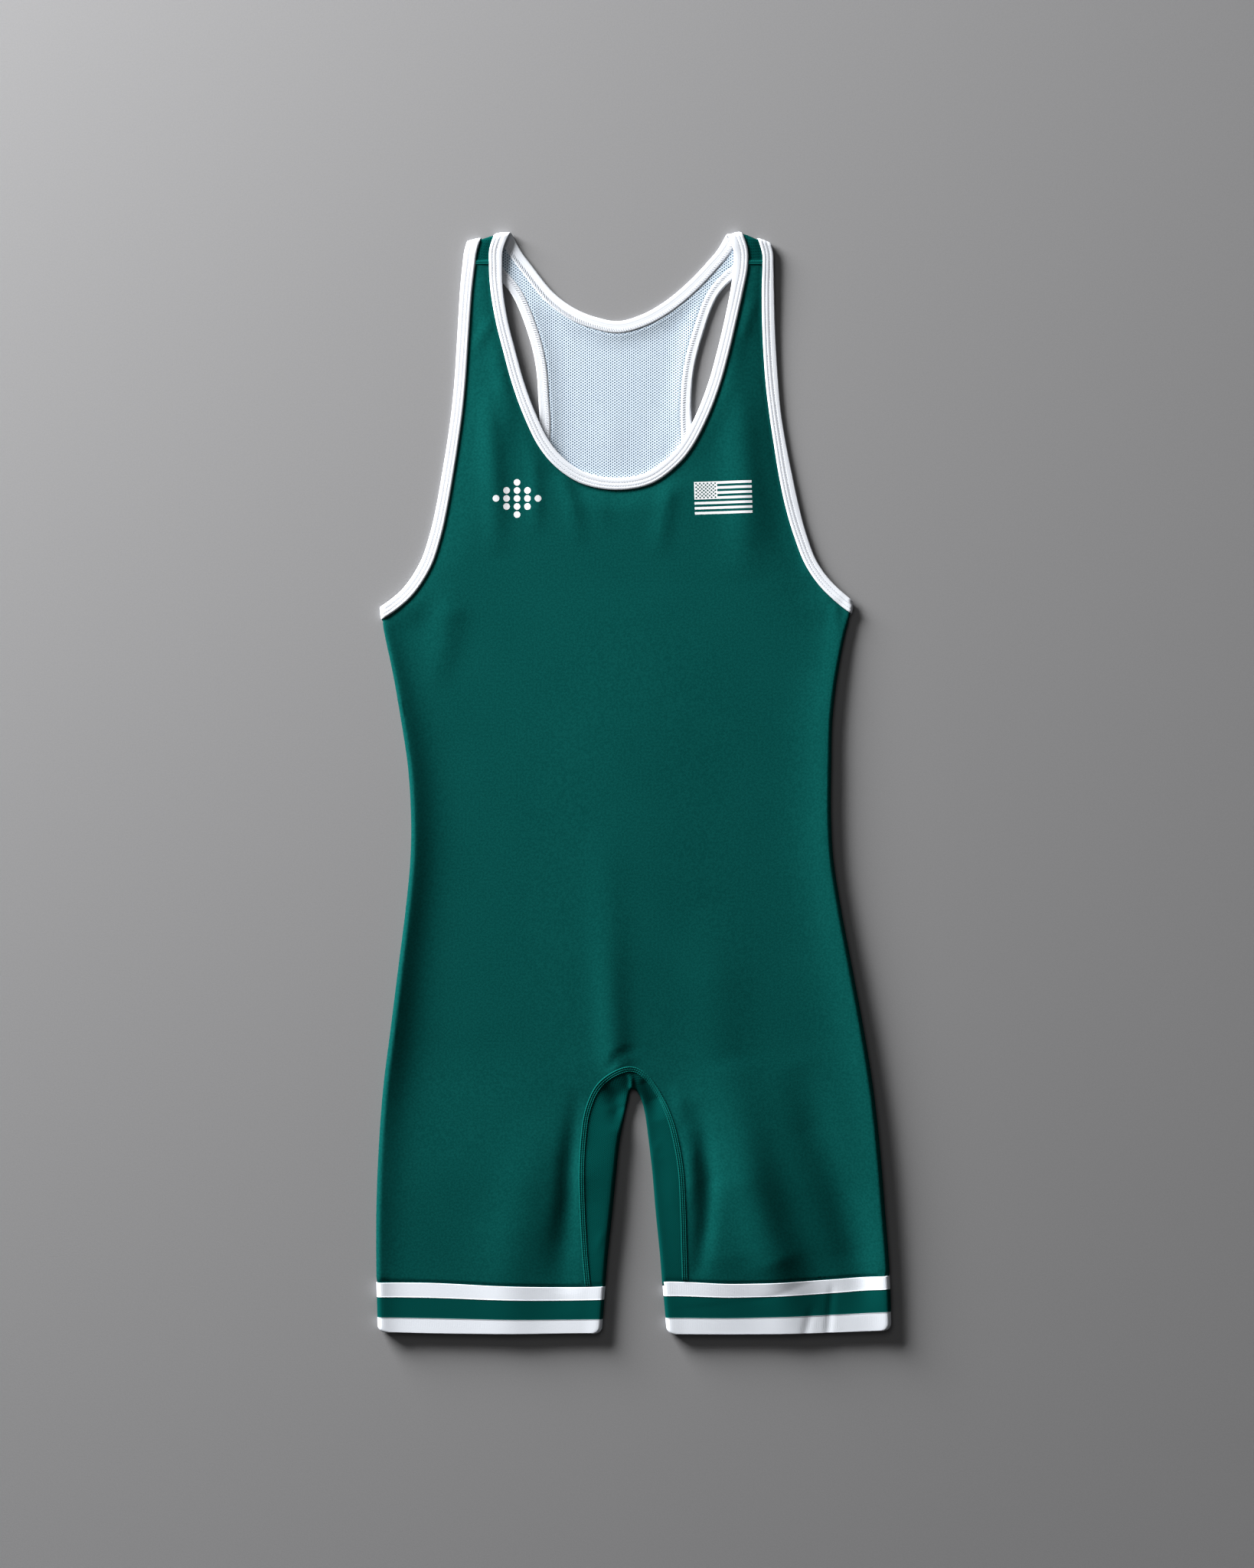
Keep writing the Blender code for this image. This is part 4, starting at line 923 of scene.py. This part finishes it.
def frontInside():
    grid, points = cloth["frontGrid"], []
    for y in np.arange(*cloth["bodyY"], grid):
        left, right = rollColumns(y, -1), rollColumns(y, 1)
        middle = spaced(left[-1], right[-1], grid)[1:-1]
        points += [(x, y) for x in (*turnedColumns(y, -1), *left, *middle, *right, *turnedColumns(y, 1))]
    points += [(x, y) for y in np.arange(*cloth["strapY"], grid) for x in np.arange(*cloth["strapX"], grid)]
    return withRows(points, front, frontSeam, grid)


def backInside():
    grid = cloth["backGrid"]
    points = [(x, y) for y in np.arange(*cloth["backY"], grid) for x in np.arange(*cloth["backX"], grid)]
    return withRows(points, back, backSeam, grid)


frontPanel, frontFlat, frontArea = addPanel(
    "frontPanel", front, panelCut(front, frontSeam), frontInside(), frontSheet, [knit]
)
backPanel, backFlat, backArea = addPanel(
    "backPanel", back, panelCut(back, backSeam), backInside(), backSheet, [net, inside]
)


def gussetMiddle(t, across):  # across: 0 at the front seam, 1 to 2 round the fold, 3 at the back seam
    seam, fold, outwardWay, top = gussetFrame(t)
    low = cloth["panelWall"] / 2
    radius = (top - low) / 2
    centre = fold + outwardWay * (low + radius)[..., None]
    face, angle = np.clip(across, 0, 1), np.clip(across - 1, 0, 1) * math.pi
    below = np.clip(across - 2, 0, 1) * (gusset["backWidth"] - low - radius)
    plan = seam + (centre - seam) * face[..., None] + outwardWay * (below - radius * np.sin(angle))[..., None]
    x, y = plan[..., 0], plan[..., 1]
    seamZ = frontHeight(seam[..., 0], seam[..., 1])
    rise = seamZ + (top - seamZ) * ease((face - gusset["rise"]) / (1 - gusset["rise"]))
    z = np.where(across <= 1, rise, low + radius * (1 + np.cos(angle)))
    crease = foldRelief(gusset["creases"], x, y) * ease(face / gusset["bySeam"]) * (1 + np.cos(angle)) / 2
    z = np.where(across < 2, np.maximum(z + crease, np.minimum(z, gusset["leastZ"])), z)
    shift = hemShift(x, y)
    z = z + np.where(across <= 1, -shift, np.where(across >= 2, shift, 0))
    return np.concatenate([plan, z[..., None]], -1)


def addGusset():
    t, across = np.meshgrid(stations, gusset["columns"], indexing="ij")
    middle = gussetMiddle(t, across)
    wide = np.cumsum(np.linalg.norm(np.diff(middle, axis=1), axis=-1), axis=1)
    run = runAlong(middle[:, gusset["columns"].index(1)])
    place = np.pad(wide, ((0, 0), (1, 0)))
    uv = beside(place, np.repeat(run[:, None], place.shape[1], 1)).reshape(-1, 2)
    points, faces = middle.reshape(-1, 3), gridFaces(*t.shape)
    piece = addMesh("crotchGusset", points, faces, uv, cloth["panelWall"], [fineNet])
    corners = points[np.array(faces)]
    crossed = np.cross(corners[:, 2] - corners[:, 0], corners[:, 3] - corners[:, 1])
    area = np.linalg.norm(crossed, axis=-1).sum() / 2 * mm * mm
    flat = (float(wide.max()) * mm, float(run[-1]) * gusset["cutShare"] * mm)
    return piece, flat, area


crotchGusset, gussetFlat, gussetArea = addGusset()
print("gusset made")

neckTape = neck.build("neckTape", tapeWhite)
leftTape = leftArmhole.build("leftArmholeTape", tapeWhite)
rightTape = rightArmhole.build("rightArmholeTape", tapeWhite)
print("tapes made:", [round(tape.length) for tape in allTapes], "mm long")


def stripeShare(x, drop):
    rows = through(bands["stripes"])(x).T
    return np.array([np.interp(drop, (0, *row, 1), (0, 0.3, 0.7, 1)) for row in rows])


def bandRing(drop, side):  # one line round a leg, at a share of the band's depth
    def level(x):
        top, bottom = hems(x)
        return top + (bottom - top) * drop

    half = bands["wall"] / 2
    angles = np.linspace(0, math.pi, bands["turns"] + 2)[1:-1]
    corner = max(0.0, bands["corner"] - (1 - drop) * bands["depth"])
    inset = bands["corner"] - math.sqrt(bands["corner"] ** 2 - corner**2)
    centres, turned = [], []
    for sense, edge in ((side, sideEdge), (-side, innerEdge)):
        y = level(edge(bands["middle"], side))
        x = edge(y, side) - sense * inset
        radius = (frontHeight(x - sense * lay["foldInside"], y) - half) / 2
        centre = x - sense * (half + radius)
        over = [centre + sense * radius * np.sin(angles), np.full(len(angles), y)]
        centres.append(centre)
        turned.append(beside(*over, half + radius + radius * np.cos(angles)))
    xs = centres[0] + (centres[1] - centres[0]) * np.linspace(0, 1, bands["columns"])
    top = beside(xs, level(xs), frontHeight(xs, level(xs)))
    under = beside(xs, level(xs), np.full(len(xs), half))
    return np.vstack([top, turned[1], under[::-1], turned[0][::-1], top[:1]])


def addBand(name, side):
    drops = [*bands["firstRows"], *np.linspace(*bands["middleRows"]), *bands["lastRows"]]
    rings = [bandRing(drop, side) for drop in drops]
    uv = [beside(runAlong(ring), stripeShare(ring[:, 0], drop)) for ring, drop in zip(rings, drops)]
    faces = np.array(gridFaces(len(rings), len(rings[0])))
    if side < 0:
        faces = faces[:, ::-1]
    band = addMesh(name, np.vstack(rings), faces, np.vstack(uv), bands["wall"], [striped], closed=True)
    return band, (bands["depth"] * mm, float(uv[0][-1][0]) * mm)


leftBand, leftBandFlat = addBand("leftLegBand", -1)
rightBand, rightBandFlat = addBand("rightLegBand", 1)
print("leg bands made")

threads = {
    "insets": ((2.5, 0.93), (5.4, 0.74)), "pitch": 2.04, "length": 1.7, "radius": 0.18,
    "loopInsets": (0.9, 3.5), "loopHeight": -1.06, "loopPitch": 1.9, "loopLean": 0.9, "loopRadius": 0.15,
    "taper": 0.17, "corners": 5,
}


def pointsAt(points, shares):  # at shares of the length of a line
    run = runAlong(points)
    return beside(*(np.interp(shares * run[-1], run, column) for column in points.T))


def addStitches(name, rows, radius, finish):  # short threads, thinner at their ends
    starts, ends, out = map(np.concatenate, zip(*rows))
    along = ends - starts
    side = unit(np.cross(out, along))
    up = unit(np.cross(along, side))
    count = threads["corners"]
    turns = (np.arange(count) * 2 * math.pi / count)[:, None]
    ring = (side[:, None] * np.cos(turns) + up[:, None] * np.sin(turns)) * radius
    first, last = starts + along * threads["taper"], ends - along * threads["taper"]
    points = np.concatenate([starts[:, None], first[:, None] + ring, last[:, None] + ring, ends[:, None]], 1)
    points[..., 2] = np.maximum(points[..., 2], 0.02)
    faces, far = [], 1 + count
    for k in range(count):
        n = (k + 1) % count
        faces += [(0, 1 + n, 1 + k), (1 + k, 1 + n, far + n, far + k), (far + count, far + k, far + n)]
    each = far + count + 1
    faces = [tuple(each * i + corner for corner in face) for i in range(len(starts)) for face in faces]
    return addMesh(name, points.reshape(-1, 3), faces, finishes=[finish])


def stitchRow(line, out, pitch, length):
    whole = runAlong(line)[-1]
    count = round(whole / pitch)
    middle, half = (np.arange(count) + 0.5) / count, length / whole / 2
    return pointsAt(line, middle - half), pointsAt(line, middle + half), pointsAt(out, middle)


def tapeLine(tape, inset, height):
    return [np.vstack([line, line[:1]]) for line in tape.line("cloth", inset, height)]


def tapeStitches(name, tape):
    rows = []
    for inset, height in threads["insets"]:
        rows.append(stitchRow(*tapeLine(tape, inset, height), threads["pitch"], threads["length"]))
    # the threads lie in the tape's grooves; their grey colour is painted shade
    return addStitches(name, rows, threads["radius"], paintedShadeThread)


def tapeLoops(name, tape):
    (low, _), (high, out) = (tapeLine(tape, inset, threads["loopHeight"]) for inset in threads["loopInsets"])
    length = runAlong(low)[-1]
    count = round(length / threads["loopPitch"])
    at = (np.arange(count) + 0.25) / count
    row = pointsAt(low, at), pointsAt(high, at + threads["loopLean"] / length), pointsAt(out, at)
    return addStitches(name, [row], threads["loopRadius"], greyThread)


for name, tape in zip(("neck", "leftArmhole", "rightArmhole"), allTapes):
    tapeStitches(name + "Stitches", tape)
    tapeLoops(name + "Loops", tape)
print("tape stitches made")


def skin(*pieces):  # what a ray from above meets
    points, faces = [], []
    for piece in pieces:
        start = len(points)
        points += [tuple(vertex.co / mm) for vertex in piece.data.vertices]
        faces += [tuple(start + corner for corner in face.vertices) for face in piece.data.polygons]
    return BVHTree.FromPolygons(points, faces)


def onSkin(tree, places, lift):
    hits = [tree.ray_cast((float(x), float(y), 60.0), (0, 0, -1)) for x, y in places]
    points, out = (np.array([tuple(hit[k]) for hit in hits]) for k in (0, 1))
    return points + out * (cloth["panelWall"] / 2 + np.asarray(lift))[..., None], out


def patch(x0, x1, y0, y1, step):
    columns, rows = (max(2, math.ceil(abs(b - a) / step) + 1) for a, b in ((x0, x1), (y0, y1)))
    return gridPlaces(np.linspace(x0, x1, columns), np.linspace(y1, y0, rows)), gridFaces(rows, columns)


def addPrint(name, shapes, at, turned, lift, finish):
    places = np.vstack([shape[0] for shape in shapes])
    starts = np.cumsum([0] + [len(shape[0]) for shape in shapes])
    parts = [(start, face) for start, shape in zip(starts, shapes) for face in shape[1]]
    faces = [tuple(start + corner for corner in face) for start, face in parts]
    cos, sin = math.cos(turned), math.sin(turned)
    places = places @ np.array([[cos, sin], [-sin, cos]]) + at
    points, _ = onSkin(skin(frontPanel), places, lift)
    corners = points[np.array([face[:3] for face in faces])]
    if np.cross(corners[:, 1] - corners[:, 0], corners[:, 2] - corners[:, 0])[:, 2].sum() < 0:
        faces = [face[::-1] for face in faces]
    return addMesh(name, points, faces, places, 0.0, [finish])


flag = {
    "at": (69.9, 223.4), "size": (45.0, 25.5), "turned": 0.03, "canton": (18.0, 7), "step": 1.5,
    "starRadius": 1.05, "starWaist": 0.45, "lift": 0.06, "starLift": 0.09,
}


def addFlag():
    width, height = flag["size"]
    left, top, stripe, step = -width / 2, height / 2, height / 13, flag["step"]
    canton, rows = flag["canton"]
    shapes = [patch(left, left + canton, top - rows * stripe, top, step)]
    for i in range(0, 13, 2):
        start = left + canton if i < rows else left
        shapes.append(patch(start, -left, top - (i + 1) * stripe, top - i * stripe, step))
    turns = np.arange(10) * math.pi / 5
    radii = flag["starRadius"] * np.where(np.arange(10) % 2, flag["starWaist"], 1.0)
    star = np.vstack([[0, 0], beside(-np.sin(turns) * radii, np.cos(turns) * radii)])
    faces = [(0, 1 + k, 1 + (k + 1) % 10) for k in range(10)]
    stars = []
    for row in range(9):
        for column in range(row % 2, 11, 2):
            middle = (left + (column + 1) * canton / 12, top - (row + 1) * rows * stripe / 10)
            stars.append((star + middle, faces))
    print("flag:", len(stars), "stars")
    at, turned = flag["at"], flag["turned"]
    return [
        addPrint("flagPrint", shapes, at, turned, flag["lift"], printWhite),
        addPrint("flagStars", stars, at, turned, flag["starLift"], printGreen),
    ]


mark = {
    "at": (-91.5, 222.6), "rows": (1, 3, 5, 3, 1), "pitch": (8.2, 6.3), "radius": 2.6, "lift": 0.06,
    "corners": 28,
}


def addMark():
    count = mark["corners"]
    turns = np.arange(count) * 2 * math.pi / count
    rim = beside(np.cos(turns), np.sin(turns))
    disc = np.vstack([[0, 0], rim * 0.5, rim]) * mark["radius"]
    ahead = [(k + 1) % count for k in range(count)]
    faces = [(0, 1 + k, 1 + n) for k, n in enumerate(ahead)]
    faces += [(1 + k, 1 + count + k, 1 + count + n, 1 + n) for k, n in enumerate(ahead)]
    shapes = []
    for row, dots in enumerate(mark["rows"]):
        for column in range(dots):
            middle = ((column - (dots - 1) / 2) * mark["pitch"][0], (2 - row) * mark["pitch"][1])
            shapes.append((disc + middle, faces))
    return addPrint("chestMark", shapes, mark["at"], 0.0, mark["lift"], printWhite)


prints = [*addFlag(), addMark()]
print("prints made")

flatlock = {
    "from": -0.7, "to": 4.1, "ridges": 3, "base": 0.12, "ridge": 0.36, "edge": -0.1, "wall": 0.25,
    "pitch": 1.8, "length": 1.5, "radius": 0.17, "lift": 0.1, "aboveHem": 0.4,
}


def addStrip(name, top, places, shape, lift):  # a thin strip that lies on the skin
    lift[[0, -1]] = flatlock["edge"]
    lift = lift[:, None] if len(lift) == shape[0] else lift
    points, out = onSkin(top, places, np.broadcast_to(lift, shape).ravel())
    strip = addMesh(name, points, gridFaces(*shape), places, flatlock["wall"], [greenSeam], offset=-1.0)
    return strip, points.reshape(*shape, 3), out.reshape(*shape, 3)


def addFlatlock():
    inside = [i for i, (x, y) in enumerate(frontSeam) if y > hems(x)[0] + flatlock["aboveHem"]]
    share = np.linspace(0, 1, flatlock["ridges"] * 4 + 1)
    across = flatlock["from"] + (flatlock["to"] - flatlock["from"]) * share
    lift = flatlock["base"] + flatlock["ridge"] * np.sin(share * math.pi * flatlock["ridges"]) ** 2
    places = (frontSeam[inside][:, None] - outward[inside][:, None] * across[:, None]).reshape(-1, 2)
    shape = (len(inside), len(across))
    strip, points, out = addStrip("gussetSeam", skin(frontPanel, crotchGusset), places, shape, lift)
    rows = []
    for k in range(2, len(share), 4):
        line = points[:, k] + out[:, k] * flatlock["lift"]
        rows.append(stitchRow(line, out[:, k], flatlock["pitch"], flatlock["length"]))
    return [strip, addStitches("gussetStitches", rows, flatlock["radius"], greenThread)]


shoulder = {
    "left": (-125.0, -111.4), "right": (88.2, 101.6), "columns": 18, "across": (409.0, 405.6, 13),
    "base": 0.1, "ridges": (406.3, 407.8), "ridge": 0.3, "ridgeWidth": 0.45,
    # Rows of stitches: y, lean.
    "stitches": ((406.3, 0.35), (407.8, 0.35), (408.7, 0.0)), "fromEnd": 0.8, "pitch": 1.45, "length": 1.0,
    "lift": 0.45,
}


def addShoulderSeam(name, ends):
    top = skin(frontPanel, backPanel)
    x, y = np.linspace(*ends, shoulder["columns"]), np.linspace(*shoulder["across"])
    ridges = [np.exp(-(((y - row) / shoulder["ridgeWidth"]) ** 2)) for row in shoulder["ridges"]]
    lift = shoulder["base"] + shoulder["ridge"] * sum(ridges)
    strip, *_ = addStrip(name, top, gridPlaces(x, y), (len(y), len(x)), lift)
    at = np.arange(ends[0] + shoulder["fromEnd"], ends[1] - shoulder["fromEnd"], shoulder["pitch"])
    rows = []
    for row, lean in shoulder["stitches"]:
        starts, out = onSkin(top, gridPlaces(at, [row - lean]), shoulder["lift"])
        tips, _ = onSkin(top, gridPlaces(at + shoulder["length"], [row + lean]), shoulder["lift"])
        rows.append((starts, tips, out))
    return [strip, addStitches(name + "Stitches", rows, flatlock["radius"], greenThread)]


seamPieces = addFlatlock()
shoulders = []
for name, side in (("leftShoulderSeam", "left"), ("rightShoulderSeam", "right")):
    shoulders += addShoulderSeam(name, shoulder[side])
print("seams made")

for piece, node, slot in (
    (frontPanel, "front_panel", "front_knit"), (backPanel, "back_panel", "mesh_knit"),
    (crotchGusset, "crotch_gusset", "mesh_knit"), (neckTape, "neck_binding", "tape"),
    (leftTape, "left_armhole_binding", "tape"), (rightTape, "right_armhole_binding", "tape"),
    (leftBand, "left_leg_band", "leg_band"), (rightBand, "right_leg_band", "leg_band"),
):
    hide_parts(node)

frontFlat, backFlat = (tuple(map(float, flat)) for flat in (frontFlat, backFlat))

stage = {
    "cameraAt": (-0.0054, -0.0009, 2.9013),
    "lens": 85.0,
    "keyAt": (-2.4, 2.25, 0.80), "keySize": (2.0, 1.1), "keyPower": 520.0,
    "fillAt": (-0.8, 1.2, 2.6), "fillSize": (1.6, 1.6), "fillPower": 8.0,
    "world": 0.05,
}

bpy.ops.object.select_all(action="DESELECT")
bpy.ops.mesh.primitive_plane_add(size=14.0, location=(0, 0, 0))
floor = bpy.context.object
floor.name = "floor"
floor.data.materials.append(plainLook("paleFloor", looks["floor"], 0.9, 900.0, 0.0001, 0.0))


def addLight(name):  # aimed at the middle of the frame
    data = bpy.data.lights.new(name, "AREA")
    data.shape, data.energy = "RECTANGLE", stage[name + "Power"]
    data.size, data.size_y = stage[name + "Size"]
    lamp = bpy.data.objects.new(name, data)
    x, y, z = lamp.location = stage[name + "At"]
    lamp.rotation_euler = (math.atan2(math.hypot(x, y), z), 0, math.atan2(x, -y))
    lamp.visible_camera = False
    bpy.context.scene.collection.objects.link(lamp)


addLight("key")
addLight("fill")

world = bpy.data.worlds.new("studio")
world.use_nodes = True
background = world.node_tree.nodes["Background"].inputs
background["Color"].default_value = (1, 1, 1, 1)
background["Strength"].default_value = stage["world"]
bpy.context.scene.world = world
bpy.context.scene.view_settings.view_transform = "Standard"

cameraData = bpy.data.cameras.new("camera")
cameraData.lens, cameraData.sensor_width = stage["lens"], 36.0
camera = bpy.data.objects.new("camera", cameraData)
camera.location = stage["cameraAt"]
bpy.context.scene.collection.objects.link(camera)
bpy.context.scene.camera = camera
